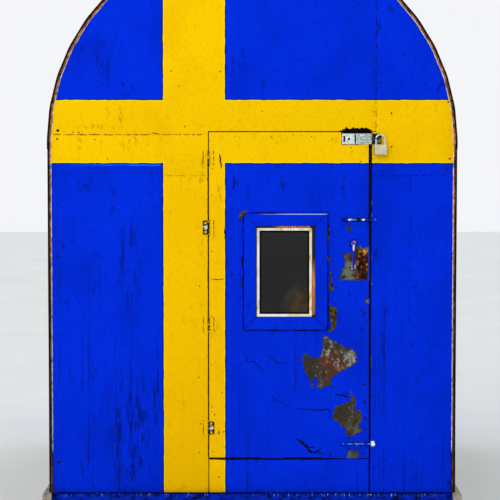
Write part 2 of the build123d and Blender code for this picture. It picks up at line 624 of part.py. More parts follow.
# ---------------------------------------------------------------- staple and padlock
SHACKLE_Y = FACE_Y - SHACKLE_STANDOFF
loop_z = FLOOR + STAPLE_Z
loop_left = SHACKLE_LEG_X - loop_half
loop_right = SHACKLE_LEG_X + loop_half
left_foot = (loop_left, FACE_Y, loop_z)
left_bend = (loop_left, SHACKLE_Y, loop_z)
loop_front = (SHACKLE_LEG_X, SHACKLE_Y - loop_half, loop_z)
right_bend = (loop_right, SHACKLE_Y, loop_z)
right_foot = (loop_right, FACE_Y, loop_z)
staple_path = (
    Line(left_foot, left_bend)
    + ThreePointArc(left_bend, loop_front, right_bend)
    + Line(right_bend, right_foot)
)
staple_section = Plane(origin=left_foot, z_dir=(0, -1, 0)) * Circle(STAPLE_RADIUS)
staple = sweep(staple_section, path=staple_path)
foot_half = STAPLE_FOOT_WIDTH / 2
foot_x = (SHACKLE_LEG_X - foot_half, SHACKLE_LEG_X + foot_half)
staple += block(*foot_x, FACE_Y - STAPLE_FOOT, FACE_Y, STAPLE_Z - foot_half, STAPLE_Z + foot_half)
save("hasp_staple", staple.solid())

case_top = shackle_top - CASE_DROP
leg_low = case_top - LEG_IN_CASE
leg_x = (SHACKLE_LEG_X, SHACKLE_LEG_X + SHACKLE_SPACING)
left_low, right_low = [(x, SHACKLE_Y, FLOOR + leg_low) for x in leg_x]
left_high, right_high = [(x, SHACKLE_Y, FLOOR + bow_centre_z) for x in leg_x]
bow_crown = (bow_centre_x, SHACKLE_Y, FLOOR + bow_centre_z + bow_radius)
shackle_path = (
    Line(left_low, left_high)
    + ThreePointArc(left_high, bow_crown, right_high)
    + Line(right_high, right_low)
)
shackle_section = Plane(origin=left_low, z_dir=UP) * Circle(SHACKLE_RADIUS)
shackle = sweep(shackle_section, path=shackle_path)
save("padlock_shackle", shackle.solid())

case_left = bow_centre_x - CASE_WIDTH / 2
case_y = (SHACKLE_Y - CASE_DEPTH / 2, SHACKLE_Y + CASE_DEPTH / 2)
case = block(case_left, case_left + CASE_WIDTH, *case_y, case_top - CASE_HEIGHT, case_top)
case = fillet(case.edges().filter_by(Axis.Z), CASE_CORNER)
for x in leg_x:
    case -= rod(x, SHACKLE_Y, leg_low, SHACKLE_RADIUS, LEG_IN_CASE + CUT, UP)
save("padlock_case", case.solid())

# ---------------------------------------------------------------- handle and latch plate
HANDLE_X = DOOR_RIGHT - HANDLE_FROM_EDGE
handle_low = DOOR_BOTTOM + HANDLE_RISE + HANDLE_RADIUS
handle_high = handle_low + HANDLE_LENGTH - 2 * HANDLE_RADIUS
grip_y = FACE_Y - HANDLE_REACH
handle_points = [
    (HANDLE_X, FACE_Y, FLOOR + handle_low),
    (HANDLE_X, grip_y, FLOOR + handle_low),
    (HANDLE_X, grip_y, FLOOR + handle_high),
    (HANDLE_X, FACE_Y, FLOOR + handle_high),
]
handle_path = FilletPolyline(*handle_points, radius=HANDLE_BEND)
handle_section = Plane(origin=handle_points[0], z_dir=(0, -1, 0)) * Circle(HANDLE_RADIUS)
handle = sweep(handle_section, path=handle_path)
handle_half = HANDLE_FOOT / 2
handle_foot_x = (HANDLE_X - handle_half, HANDLE_X + handle_half)
for z in (handle_low, handle_high):
    handle += block(
        *handle_foot_x, FACE_Y - HANDLE_FOOT_THICKNESS, FACE_Y, z - handle_half, z + handle_half
    )
save("pull_handle", handle.solid())

latch_x = (DOOR_RIGHT - LATCH_PLATE_FROM_EDGE - LATCH_PLATE_WIDTH, DOOR_RIGHT - LATCH_PLATE_FROM_EDGE)
latch_z = (DOOR_BOTTOM + LATCH_PLATE_RISE, DOOR_BOTTOM + LATCH_PLATE_RISE + LATCH_PLATE_HEIGHT)
save("latch_plate", block(*latch_x, FACE_Y - LATCH_PLATE, FACE_Y, *latch_z))
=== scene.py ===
import math
import random

import bmesh
import bpy
from mathutils import Matrix, Vector, geometry, noise
from mathutils.kdtree import KDTree


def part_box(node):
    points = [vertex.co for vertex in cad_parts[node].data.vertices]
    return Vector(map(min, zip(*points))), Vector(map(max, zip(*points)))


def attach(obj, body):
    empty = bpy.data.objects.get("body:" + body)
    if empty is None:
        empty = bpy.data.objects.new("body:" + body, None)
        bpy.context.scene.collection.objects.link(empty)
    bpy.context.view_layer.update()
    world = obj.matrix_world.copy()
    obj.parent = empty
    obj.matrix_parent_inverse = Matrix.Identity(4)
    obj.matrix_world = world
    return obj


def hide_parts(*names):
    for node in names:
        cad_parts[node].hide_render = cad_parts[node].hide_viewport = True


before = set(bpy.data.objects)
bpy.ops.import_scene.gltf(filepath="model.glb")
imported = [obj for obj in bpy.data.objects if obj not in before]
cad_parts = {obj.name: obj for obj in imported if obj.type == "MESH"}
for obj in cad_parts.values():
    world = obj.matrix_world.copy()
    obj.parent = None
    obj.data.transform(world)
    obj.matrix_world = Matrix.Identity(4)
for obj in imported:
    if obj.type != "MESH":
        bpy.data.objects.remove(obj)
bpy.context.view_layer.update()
MM = 0.001

# ---------------------------------------------------------------- runners
# Two spruce planks on edge that the hut slides on, one under each side wall. Sawn and never
# painted, greyed by weather and dark with water low down, spiked to the ends of the joists.


def linear(code):
    """sRGB hex colour as linear RGBA."""
    channels = [int(code[i : i + 2], 16) / 255 for i in (1, 3, 5)]
    return [c / 12.92 if c <= 0.04045 else ((c + 0.055) / 1.055) ** 2.4 for c in channels] + [1.0]


def add(tree, kind, inputs=(), stops=(), **settings):
    """Adds a node; a kind in capitals is an operation of Math. The inputs go by name, or in the
    sockets' order, and each is a value, a hex colour, or the node or socket that feeds it."""
    if kind.isupper():
        settings["operation"] = kind
        kind = "Math"
    node = tree.nodes.new("ShaderNode" + kind)
    for name, value in settings.items():
        setattr(node, name, value)
    for i, (place, colour) in enumerate(stops):
        ramp = node.color_ramp.elements
        stop = ramp[i] if i < 2 else ramp.new(place)
        stop.position = place
        stop.color = linear(colour)
    for name, value in inputs.items() if isinstance(inputs, dict) else enumerate(inputs):
        if isinstance(value, bpy.types.Node):
            value = value.outputs[0]
        if isinstance(value, bpy.types.NodeSocket):
            tree.links.new(value, node.inputs[name])
        elif isinstance(value, str):
            node.inputs[name].default_value = linear(value)
        else:
            node.inputs[name].default_value = value
    return node


def at_scale(tree, size):
    """Object coordinates in which one unit is the given size in millimetres along X, Y and Z."""
    place = add(tree, "TexCoord").outputs["Object"]
    return add(tree, "Mapping", {"Vector": place, "Scale": [1 / (s * MM) for s in size]})


def position(tree):
    """X, Y and Z in the hut's own coordinates."""
    return add(tree, "SeparateXYZ", (add(tree, "TexCoord").outputs["Object"],)).outputs


def new_material(name):
    material = bpy.data.materials.new(name)
    material.use_nodes = True
    material.node_tree.nodes.clear()
    return material, material.node_tree


def close_material(tree, colour, roughness, height, relief, shader=None):
    """Shader and output of a material. The height runs from 0 to 1 over the relief in metres."""
    bump = add(tree, "Bump", {"Height": height, "Distance": relief, "Strength": 1.0})
    inputs = {"Base Color": colour, "Roughness": roughness, "Normal": bump}
    inputs.update(shader or {})
    add(tree, "OutputMaterial", {"Surface": add(tree, "BsdfPrincipled", inputs)})


def sawn_timber(name, grain, pale, deep, soiled, soiling):
    """Sawn spruce along one axis: growth rings 8 mm apart stretched along the grain, torn fibres
    1 mm wide, and dirt that has soaked in. It gives the eye a dry, striped, matte surface."""
    material, tree = new_material(name)
    rings = [8, 8, 8]
    rings[grain] = 420
    fibres = [1.3, 1.3, 1.3]
    fibres[grain] = 60
    stains = [90, 90, 90]
    stains[grain] = 260
    ring_noise = add(tree, "TexNoise", {"Vector": at_scale(tree, rings), "Scale": 1.0, "Detail": 3.0})
    fibre_noise = add(tree, "TexNoise", {"Vector": at_scale(tree, fibres), "Scale": 1.0, "Detail": 2.0})
    stain_noise = add(tree, "TexNoise", {"Vector": at_scale(tree, stains), "Scale": 1.0, "Detail": 5.0})
    ring_colour = add(tree, "ValToRGB", (ring_noise,), ((0.36, deep), (0.62, pale)))
    fibre_tone = add(tree, "ValToRGB", (fibre_noise,), ((0.3, "#8a8a8a"), (0.62, "#ffffff")))
    colour = add(tree, "MixRGB", (0.8, ring_colour, fibre_tone), blend_type="MULTIPLY")
    edge = 1 - soiling
    dirt = add(tree, "MapRange", (stain_noise, 0.25 + edge * 0.35, 0.5 + edge * 0.35))
    colour = add(tree, "MixRGB", (dirt, colour, soiled))
    height = add(tree, "ADD", (ring_noise, fibre_noise))
    close_material(tree, colour, 0.82, height, 0.6 * MM, {"Specular IOR Level": 0.25})
    return material


def eased(node, ease, segments=2):
    """Mesh of a CAD solid with its arrises rounded by the radius given."""
    bm = bmesh.new()
    bm.from_mesh(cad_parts[node].data)
    bmesh.ops.remove_doubles(bm, verts=bm.verts, dist=0.02 * MM)
    bmesh.ops.dissolve_limit(bm, angle_limit=math.radians(1), verts=bm.verts, edges=bm.edges)
    arrises = [e for e in bm.edges if e.is_manifold and e.calc_face_angle() > math.radians(40)]
    bmesh.ops.bevel(
        bm, geom=arrises, offset=ease, offset_type="OFFSET", segments=segments, profile=0.5,
        affect="EDGES", clamp_overlap=True,
    )
    return bm


def wander(bm, axis, step, amount, size):
    """Cuts a long solid across at even steps and lets its surface wander as sawn timber does."""
    places = [v.co[axis] for v in bm.verts]
    normal = Vector([1.0 if i == axis else 0.0 for i in range(3)])
    low, high = min(places), max(places)
    count = max(1, int((high - low) / step))
    for i in range(1, count):
        point = normal * (low + (high - low) * i / count)
        everything = bm.verts[:] + bm.edges[:] + bm.faces[:]
        bmesh.ops.bisect_plane(bm, geom=everything, plane_co=point, plane_no=normal, dist=1e-6)
    for v in bm.verts:
        v.co += noise.noise_vector(v.co / size) * amount


# Without a seed of its own, noise_vector starts from the clock and no two builds are alike.
noise.seed_set(7)


def link(name, bm, material):
    """Object made from a finished mesh, smooth except over edges sharper than 35 degrees."""
    bmesh.ops.recalc_face_normals(bm, faces=bm.faces)
    for face in bm.faces:
        face.smooth = True
    for edge in bm.edges:
        edge.smooth = edge.is_manifold and edge.calc_face_angle() < math.radians(35)
    mesh = bpy.data.meshes.new(name)
    bm.to_mesh(mesh)
    bm.free()
    mesh.materials.append(material)
    piece = bpy.data.objects.new(name, mesh)
    bpy.context.scene.collection.objects.link(piece)
    return piece


runner_timber = sawn_timber("weathered_spruce_runner", 1, "#cbbfaa", "#a3947f", "#5f5548", 0.35)
for side in ("left", "right"):
    bm = eased(f"runner_{side}", 3 * MM)
    low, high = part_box(f"runner_{side}")
    wander(bm, 1, 80 * MM, 1.2 * MM, 0.09)
    for v in bm.verts:
        v.co = Vector([min(max(v.co[i], low[i]), high[i]) for i in range(3)])
    runner = link(f"runner_plank_{side}", bm, runner_timber)
    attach(runner, "hut")
    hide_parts(f"runner_{side}")

# ---------------------------------------------------------------- floor
# Six joists between the runners carry a plywood deck. A sill plank closes each end: it was
# painted dark blue once, and its top arris is scuffed pale by boots.


def bare_plywood(name, across, pale, deep, soiled, soiling):
    """Rotary cut softwood veneer: contour lines of the growth rings 12 mm apart, drawn out along
    the sheet, with scuffs and damp. It gives the eye a warm, softly figured sheet."""
    material, tree = new_material(name)
    figure = [900, 900, 900]
    figure[across] = 170
    pores = [40, 40, 40]
    pores[across] = 1.5
    figure_noise = add(tree, "TexNoise", {"Vector": at_scale(tree, figure), "Scale": 1.0, "Detail": 2.0})
    contour = add(tree, "MULTIPLY", (figure_noise, 90.0))
    contour = add(tree, "SINE", (contour,))
    pore_noise = add(tree, "TexNoise", {"Vector": at_scale(tree, pores), "Scale": 1.0, "Detail": 2.0})
    stain_noise = add(
        tree, "TexNoise", {"Vector": at_scale(tree, (220, 220, 220)), "Scale": 1.0, "Detail": 6.0}
    )
    band = add(tree, "MapRange", (contour, -0.4, 1.0))
    colour = add(tree, "MixRGB", (band, pale, deep))
    pore_tone = add(tree, "ValToRGB", (pore_noise,), ((0.3, "#9c9c9c"), (0.55, "#ffffff")))
    colour = add(tree, "MixRGB", (0.7, colour, pore_tone), blend_type="MULTIPLY")
    dirt = add(tree, "MapRange", (stain_noise, 0.7 - soiling, 0.95 - soiling))
    colour = add(tree, "MixRGB", (dirt, colour, soiled))
    close_material(tree, colour, 0.78, pore_noise, 0.3 * MM, {"Specular IOR Level": 0.3})
    return material


def dress(node, material):
    """Gives a CAD solid that has its true shape its finish."""
    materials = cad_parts[node].data.materials
    materials.clear()
    materials.append(material)


level_spruce = sawn_timber("sawn_spruce_level", 0, "#c9a274", "#a67c50", "#5d4630", 0.2)
dress("floor_joists", level_spruce)
dress("floor_deck", bare_plywood("spruce_plywood_deck", 0, "#b8905f", "#9a7245", "#4a3a2a", 0.25))

# Chalky dark blue paint on a wet plank: the paint is rubbed through to pale wood along the
# top arris, and a blotchy strip along the top is painted nearly black as the shadow under
# the panels' lower edge.
sill_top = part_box("sill_front")[1].z
sill_paint, tree = new_material("worn_paint_on_sill_plank")
place = position(tree)
blotch = add(tree, "TexNoise", {"Vector": at_scale(tree, (30, 30, 20)), "Scale": 1.0, "Detail": 5.0})
scuff = add(tree, "TexNoise", {"Vector": at_scale(tree, (5, 12, 40)), "Scale": 1.0, "Detail": 2.0})
colour = add(tree, "ValToRGB", (blotch,), ((0.34, "#010a36"), (0.48, "#0120a0"), (0.66, "#0428c0")))
near_top = add(tree, "MapRange", (place["Z"], sill_top - 19 * MM, sill_top - 6 * MM))
rubbed = add(tree, "MapRange", (scuff, 0.63, 0.69))
rubbed = add(tree, "MULTIPLY", (rubbed, near_top))
colour = add(tree, "MixRGB", (rubbed, colour, "#8cc4dc"))
rotten = add(tree, "MapRange", (scuff, 0.44, 0.38))
rotten = add(tree, "MULTIPLY", (rotten, near_top))
colour = add(tree, "MixRGB", (rotten, colour, "#02050f"))
# Painted shadow under the panels' lower edge: a near-black strip along the top of the sill.
painted_shadow_line = add(tree, "GREATER_THAN", (place["Z"], sill_top - 4.5 * MM))
shadow_patchiness = add(tree, "MapRange", (blotch, 0.36, 0.46, 0, 0.9))
painted_shadow_line = add(tree, "MULTIPLY", (painted_shadow_line, shadow_patchiness))
colour = add(tree, "MixRGB", (painted_shadow_line, colour, "#02040c"))
close_material(tree, colour, 0.8, scuff, 0.8 * MM, {"Specular IOR Level": 0.03})

for end in ("front", "back"):
    bm = eased(f"sill_{end}", 4 * MM)
    wander(bm, 0, 70 * MM, 1.0 * MM, 0.08)
    sill = link(f"sill_plank_{end}", bm, sill_paint)
    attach(sill, "hut")
    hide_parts(f"sill_{end}")

# ---------------------------------------------------------------- side walls and roof boards
# Plywood sides nailed to five studs and two plates, and twenty long boards nailed over three
# plywood ribs. Their ends stand 5 mm past the end panels and have weathered orange and brown.
BOARD_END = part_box("roof_boards")[1].y


def colouring(material):
    """Node tree of a finished material, its shader, and what feeds the shader's colour."""
    tree = material.node_tree
    shader = next(n for n in tree.nodes if n.type == "BSDF_PRINCIPLED")
    return tree, shader, shader.inputs["Base Color"].links[0].from_socket


def board_with_ends(name, across, pale, deep):
    """Interior board whose cut ends have weathered: rust brown wood with black and orange fibres."""
    material = bare_plywood(name, across, pale, deep, "#5d4630", 0.2)
    tree, shader, inside = colouring(material)
    place = position(tree)
    reach = add(tree, "ABSOLUTE", (place["Y"],))
    at_end = add(tree, "GREATER_THAN", (reach, BOARD_END - 2.5 * MM))
    strand = add(tree, "TexNoise", {"Vector": at_scale(tree, (26, 26, 26)), "Scale": 1.0, "Detail": 6.0})
    ends = add(
        tree,
        "ValToRGB",
        (strand,),
        ((0.34, "#2c1206"), (0.46, "#7c3c12"), (0.58, "#b8641e"), (0.7, "#d99a5c")),
    )
    wetness = add(tree, "MapRange", (place["Z"], 1.75, 0.7, 0, 0.7))
    ends = add(tree, "MixRGB", (wetness, ends, "#1c0e06"))
    colour = add(tree, "MixRGB", (at_end, inside, ends))
    tree.links.new(colour.outputs[0], shader.inputs["Base Color"])
    return material


side_plywood = board_with_ends("spruce_plywood_side", 2, "#bd9463", "#a0774a")
for side in ("left", "right"):
    wall = link(f"side_board_{side}", eased(f"wall_{side}", 1 * MM), side_plywood)
    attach(wall, "hut")
    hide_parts(f"wall_{side}")

boards = link(
    "arched_boards", eased("roof_boards", 1 * MM), board_with_ends("roof_board", 0, "#c49a68", "#a2784b")
)
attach(boards, "hut")
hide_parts("roof_boards")

upright_spruce = sawn_timber("sawn_spruce_upright", 2, "#cba577", "#a97f53", "#5d4630", 0.18)
long_spruce = sawn_timber("sawn_spruce_lengthwise", 1, "#c7a072", "#a57b4f", "#5d4630", 0.2)
dress("side_studs", upright_spruce)
dress("side_plates", long_spruce)
dress("arch_ribs", bare_plywood("plywood_rib", 2, "#c59c6b", "#a87f52", "#5d4630", 0.15))

# ---------------------------------------------------------------- felt
# Mineral roofing felt in metre-wide lengths, laid front to back: three over the arch, lapped
# downhill, and one down each side under them. Each end is folded over the board ends and
# nailed, and the cut edge of the fold is ragged. Clout nails with 9 mm heads hold the laps.
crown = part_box("roof_felt")[1]
lap_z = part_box("roof_felt")[0].z
side_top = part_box("side_felt")[1]
side_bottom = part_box("side_felt")[0].z
FACETS = 20
FIRST_KINK = math.radians(0.5)
FACET_TURN = (math.pi - 2 * FIRST_KINK) / FACETS
KINK_RADIUS = crown.x / math.cos(FIRST_KINK)
ARCH_Z = crown.z - KINK_RADIUS
FELT = 1.5 * MM
FOLD = 9.5 * MM
PATH_STEP = 26 * MM
CAP_HALF_WIDTH = 0.5
CLOUT_RADIUS = 4.5 * MM


def side_line(index, inset):
    """Angle of the unit normal, and distance from the arch's centre, of a wall or facet."""
    if index < 0:
        return 0.0, crown.x - inset
    if index >= FACETS:
        return math.pi, crown.x - inset
    return FIRST_KINK + FACET_TURN * (index + 0.5), KINK_RADIUS * math.cos(FACET_TURN / 2) - inset


def kink(index, inset):
    """Corner between two facets of the arch, moved inwards by inset."""
    a, da = side_line(index - 1, inset)
    b, db = side_line(index, inset)
    cross = math.sin(b - a)
    x = (da * math.sin(b) - db * math.sin(a)) / cross
    return Vector((x, 0, ARCH_Z + (db * math.cos(a) - da * math.cos(b)) / cross))


def arch_path(inset, bottom, step):
    """Points up one wall, over the arch and down the other, each with its outward normal."""
    corners = [Vector((crown.x - inset, 0, bottom))]
    corners += [kink(i, inset) for i in range(FACETS + 1)]
    corners.append(Vector((inset - crown.x, 0, bottom)))
    path = []
    for i in range(len(corners) - 1):
        run = corners[i + 1] - corners[i]
        angle = side_line(i - 1, 0)[0]
        normal = Vector((math.cos(angle), 0, math.sin(angle)))
        count = max(2, round(run.length / step))
        for k in range(count):
            path.append((corners[i] + run * ((k + 0.5) / count), normal))
    ends = [(corners[0], path[0][1]), (corners[-1], path[-1][1])]
    return [ends[0], *path, ends[1]]


def felt_skin(path, depth, fold):
    """Sheet over the whole length of the hut along a path, with each end folded over the boards."""
    stations = [-BOARD_END + (2 * BOARD_END) * i / 60 for i in range(61)]
    reach = BOARD_END + FELT + 0.2 * MM
    rows = []
    for sign, chain in ((-1, (3, 2, 1)), (0, stations), (1, (1, 2, 3))):
        for item in chain:
            row = []
            for u, (point, normal) in enumerate(path):
                if sign == 0:
                    y, inset = item, depth(u, item)
                else:
                    ragged = fold * (1 + 0.35 * noise.noise(Vector((point.x * 25, point.z * 25, sign * 7))))
                    inset = (1.0 * MM, fold * 0.5, ragged)[item - 1]
                    y = sign * (reach - (0.6 * MM if item == 1 else 0))
                corner = point - normal * inset
                row.append(Vector((corner.x, y, corner.z)))
            rows.append(row)
    return rows


def sheet(bm, rows):
    """Adds a grid of quads through rows of points."""
    grid = [[bm.verts.new(p) for p in row] for row in rows]
    for lower, upper in zip(grid, grid[1:]):
        for i in range(len(lower) - 1):
            bm.faces.new((lower[i], lower[i + 1], upper[i + 1], upper[i]))


def circle(bm, centre, turn, angles, radius, height):
    """Corners at angles round an axis through the centre, at a height along it."""
    spots = [Vector((radius * math.cos(a), radius * math.sin(a), height)) for a in angles]
    return [bm.verts.new(centre + turn @ spot) for spot in spots]


def nail_head(bm, centre, outward, radius, rise, sides=8):
    """Low domed head, closed underneath."""
    turn = outward.to_track_quat("Z", "Y").to_matrix()
    angles = [2 * math.pi * k / sides for k in range(sides)]
    low = circle(bm, centre, turn, angles, radius, 0)
    high = circle(bm, centre, turn, angles, radius * 0.82, rise * 0.7)
    top = bm.verts.new(centre + outward * rise)
    for k in range(sides):
        j = (k + 1) % sides
        bm.faces.new((low[k], low[j], high[j], high[k]))
        bm.faces.new((high[k], high[j], top))
    bm.faces.new(low[::-1])


def thicken(piece, thickness):
    """Gives an open sheet its thickness, inwards from the face that shows."""
    solid = piece.modifiers.new("thickness", "SOLIDIFY")
    solid.thickness = thickness
    solid.offset = -1


roof_path = arch_path(0, lap_z, PATH_STEP)
middle = len(roof_path) // 2
cap_half = int(CAP_HALF_WIDTH / PATH_STEP)

# Bitumen felt with slate grit: grains 2 mm across, drawn a little coarse so that they show,
# over a matte black sheet with grey water marks; the folded ends are bare bitumen. It gives
# the eye a dull, sandy black.
felt_finish, tree = new_material("mineral_roofing_felt")
grit = add(tree, "TexVoronoi", {"Vector": at_scale(tree, (2.4, 2.4, 2.4)), "Scale": 1.0})
washed = add(tree, "TexNoise", {"Vector": at_scale(tree, (420, 130, 520)), "Scale": 1.0, "Detail": 6.0})
grit_tone = add(tree, "ValToRGB", (grit.outputs["Color"],), ((0.1, "#141414"), (0.9, "#434240")))
washed_tone = add(tree, "ValToRGB", (washed,), ((0.34, "#a0a0a0"), (0.72, "#ffffff")))
colour = add(tree, "MixRGB", (1.0, grit_tone, washed_tone), blend_type="MULTIPLY")
trickle = add(tree, "TexNoise", {"Vector": at_scale(tree, (1200, 38, 1500)), "Scale": 1.0, "Detail": 5.0})
trickle = add(tree, "MapRange", (trickle, 0.5, 0.7, 0, 0.5))
colour = add(tree, "MixRGB", (trickle, colour, "#0b0b0b"))
place = position(tree)
aside = add(tree, "ABSOLUTE", (place["X"],))
cap_edge = roof_path[middle + cap_half][0]
for axis, spot, above in ((aside, abs(cap_edge.x), cap_edge.z), (place["Z"], lap_z - 5 * MM, lap_z)):
    lap = add(tree, "COMPARE", (axis, spot, 9 * MM))
    there = add(tree, "COMPARE", (place["Z"], above, 60 * MM))
    lap = add(tree, "MULTIPLY", (lap, there))
    lap = add(tree, "MULTIPLY", (lap, 0.85))
    colour = add(tree, "MixRGB", (lap, colour, "#050505"))
reach = add(tree, "ABSOLUTE", (place["Y"],))
folded = add(tree, "GREATER_THAN", (reach, BOARD_END - 2 * MM))
bitumen = add(tree, "ValToRGB", (washed,), ((0.4, "#040404"), (0.7, "#0f0e0d")))
colour = add(tree, "MixRGB", (folded, colour, bitumen))
close_material(tree, colour, 0.93, grit.outputs["Distance"], 0.5 * MM, {"Specular IOR Level": 0.2})

# Galvanised clout nails gone grey and rusty at the rim.
clout_finish, tree = new_material("galvanised_clout_nail")
tarnish = add(tree, "TexNoise", {"Vector": at_scale(tree, (6, 6, 6)), "Scale": 1.0, "Detail": 3.0})
colour = add(tree, "ValToRGB", (tarnish,), ((0.4, "#4a2f20"), (0.6, "#6f726f")))
close_material(tree, colour, 0.6, tarnish, 0.2 * MM, {"Metallic": 0.6})


def roof_depth(u, y):
    """Inset of the felt: wrinkles up to 1 mm deep, and a lower level for the side lengths."""
    place = roof_path[u][0]
    wrinkle = noise.noise(Vector((place.x * 9, y * 5, place.z * 9)))
    sag = noise.noise(Vector((place.x * 30, y * 3, place.z * 30)))
    level = 0.9 * MM if abs(u - middle) <= cap_half else 2.4 * MM
    return level + 0.5 * MM * wrinkle + 0.3 * MM * sag


bm = bmesh.new()
sheet(bm, felt_skin(roof_path, roof_depth, FOLD))
roof_skin = link("roof_felt_lengths", bm, felt_finish)
thicken(roof_skin, FELT)
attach(roof_skin, "hut")
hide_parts("roof_felt")

bm = bmesh.new()
for sign in (-1, 1):
    count = 36
    path = []
    for k in range(count + 1):
        z = side_bottom + (lap_z + 30 * MM - side_bottom) * k / count
        path.append((Vector((sign * side_top.x, 0, z)), Vector((sign, 0, 0))))
    if sign < 0:
        path.reverse()

    def side_depth(u, y):
        place = path[u][0]
        return 0.8 * MM + 0.7 * MM * noise.noise(Vector((sign * 5, y * 4, place.z * 2.2)))

    rows = felt_skin(path, side_depth, FOLD)
    for row in rows:
        low = row[0] if sign > 0 else row[-1]
        low.z += 4 * MM * noise.noise(Vector((sign, low.y * 9, 0)))
    sheet(bm, rows)
side_skin = link("side_felt_lengths", bm, felt_finish)
thicken(side_skin, 1.2 * MM)
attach(side_skin, "hut")
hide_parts("side_felt")

bm = bmesh.new()
dice = random.Random(3)
for lap in (2, middle - cap_half + 1, middle + cap_half - 1, len(roof_path) - 3):
    point, normal = roof_path[lap]
    y = -BOARD_END + 20 * MM
    while y < BOARD_END - 15 * MM:
        centre = point - normal * (1.4 * MM) + Vector((0, y, 0))
        nail_head(bm, centre, normal, CLOUT_RADIUS, 1.2 * MM)
        y += dice.uniform(65, 85) * MM
for u in range(4, len(roof_path) - 4, 4):
    point, normal = roof_path[u]
    for y in (-BOARD_END + 22 * MM, BOARD_END - 22 * MM):
        side_shift = dice.uniform(-4, 4) * MM
        inset = (1.4 if abs(u - middle) <= cap_half else 2.6) * MM
        centre = point - normal * inset + Vector((0, y + side_shift, 0))
        nail_head(bm, centre, normal, CLOUT_RADIUS, 1.2 * MM)
for sign in (-1, 1):
    for k in range(18):
        z = side_bottom + 30 * MM + k * 84 * MM
        for y in (-BOARD_END + 20 * MM, BOARD_END - 20 * MM):
            centre = Vector((sign * (side_top.x - 1.4 * MM), y, z))
            nail_head(bm, centre, Vector((sign, 0, 0)), CLOUT_RADIUS, 1.3 * MM)
clouts = link("felt_clout_nails", bm, clout_finish)
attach(clouts, "hut")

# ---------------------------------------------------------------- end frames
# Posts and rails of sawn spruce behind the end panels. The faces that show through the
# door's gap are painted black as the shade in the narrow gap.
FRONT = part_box("front_panel_left")[0].y
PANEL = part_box("front_panel_left")[1].y - FRONT


def stop_timber(name, grain):
    """Frame timber painted black where it shows through the door's gap, as painted shade."""
    material = sawn_timber(name, grain, "#c9a274", "#a67c50", "#5d4630", 0.2)
    tree, shader, clean = colouring(material)
    place = position(tree)
    # Painted shade: the face behind the door's gap is made near black.
    stop = add(tree, "LESS_THAN", (place["Y"], FRONT + PANEL + 1 * MM))
    colour = add(tree, "MixRGB", (stop, clean, "#070504"))
    tree.links.new(colour.outputs[0], shader.inputs["Base Color"])
    return material


dress("door_posts", stop_timber("spruce_door_post", 2))
dress("front_rails", stop_timber("spruce_front_rail", 0))
dress("back_frame", upright_spruce)

# ---------------------------------------------------------------- end panels
# Exterior plywood painted with flat oil paint: a yellow cross on blue on the front, plain
# blue on the back. The paint is chalky, streaked by melt water and dotted with dirt, and it
# follows the grain of the veneer. Cut edges and the inner face were never painted.
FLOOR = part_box("floor_deck")[1].z
UPRIGHT_BAR = (-396 * MM, -122 * MM)
LEVEL_BAR = (FLOOR + 1480 * MM, FLOOR + 1759 * MM)


def oval(tree, place, spot, rim, core, most=1.0):
    """Soft upright oval from its middle and half sizes in millimetres: nothing at the rim, and the
    most at the core."""
    x, height, half_width, half_height = spot
    dx = add(tree, "SUBTRACT", (place["X"], x * MM))
    dz = add(tree, "SUBTRACT", (place["Z"], FLOOR + height * MM))
    away = add(tree, "CombineXYZ", {"X": dx, "Z": dz})
    size = (1 / (half_width * MM), 1, 1 / (half_height * MM))
    away = add(tree, "Mapping", {"Vector": away, "Scale": size})
    away = add(tree, "VectorMath", (away,), operation="LENGTH").outputs["Value"]
    return add(tree, "MapRange", (away, rim, core, 0, most))


def on_cross(tree, x, z, margin=0.0):
    """1 on the yellow cross, widened by a margin on every side, and 0 off it."""
    bars = []
    for along, (start, end) in ((x, UPRIGHT_BAR), (z, LEVEL_BAR)):
        bars.append(add(tree, "COMPARE", (along, (start + end) / 2, (end - start) / 2 + margin)))
    return add(tree, "MAXIMUM", bars)


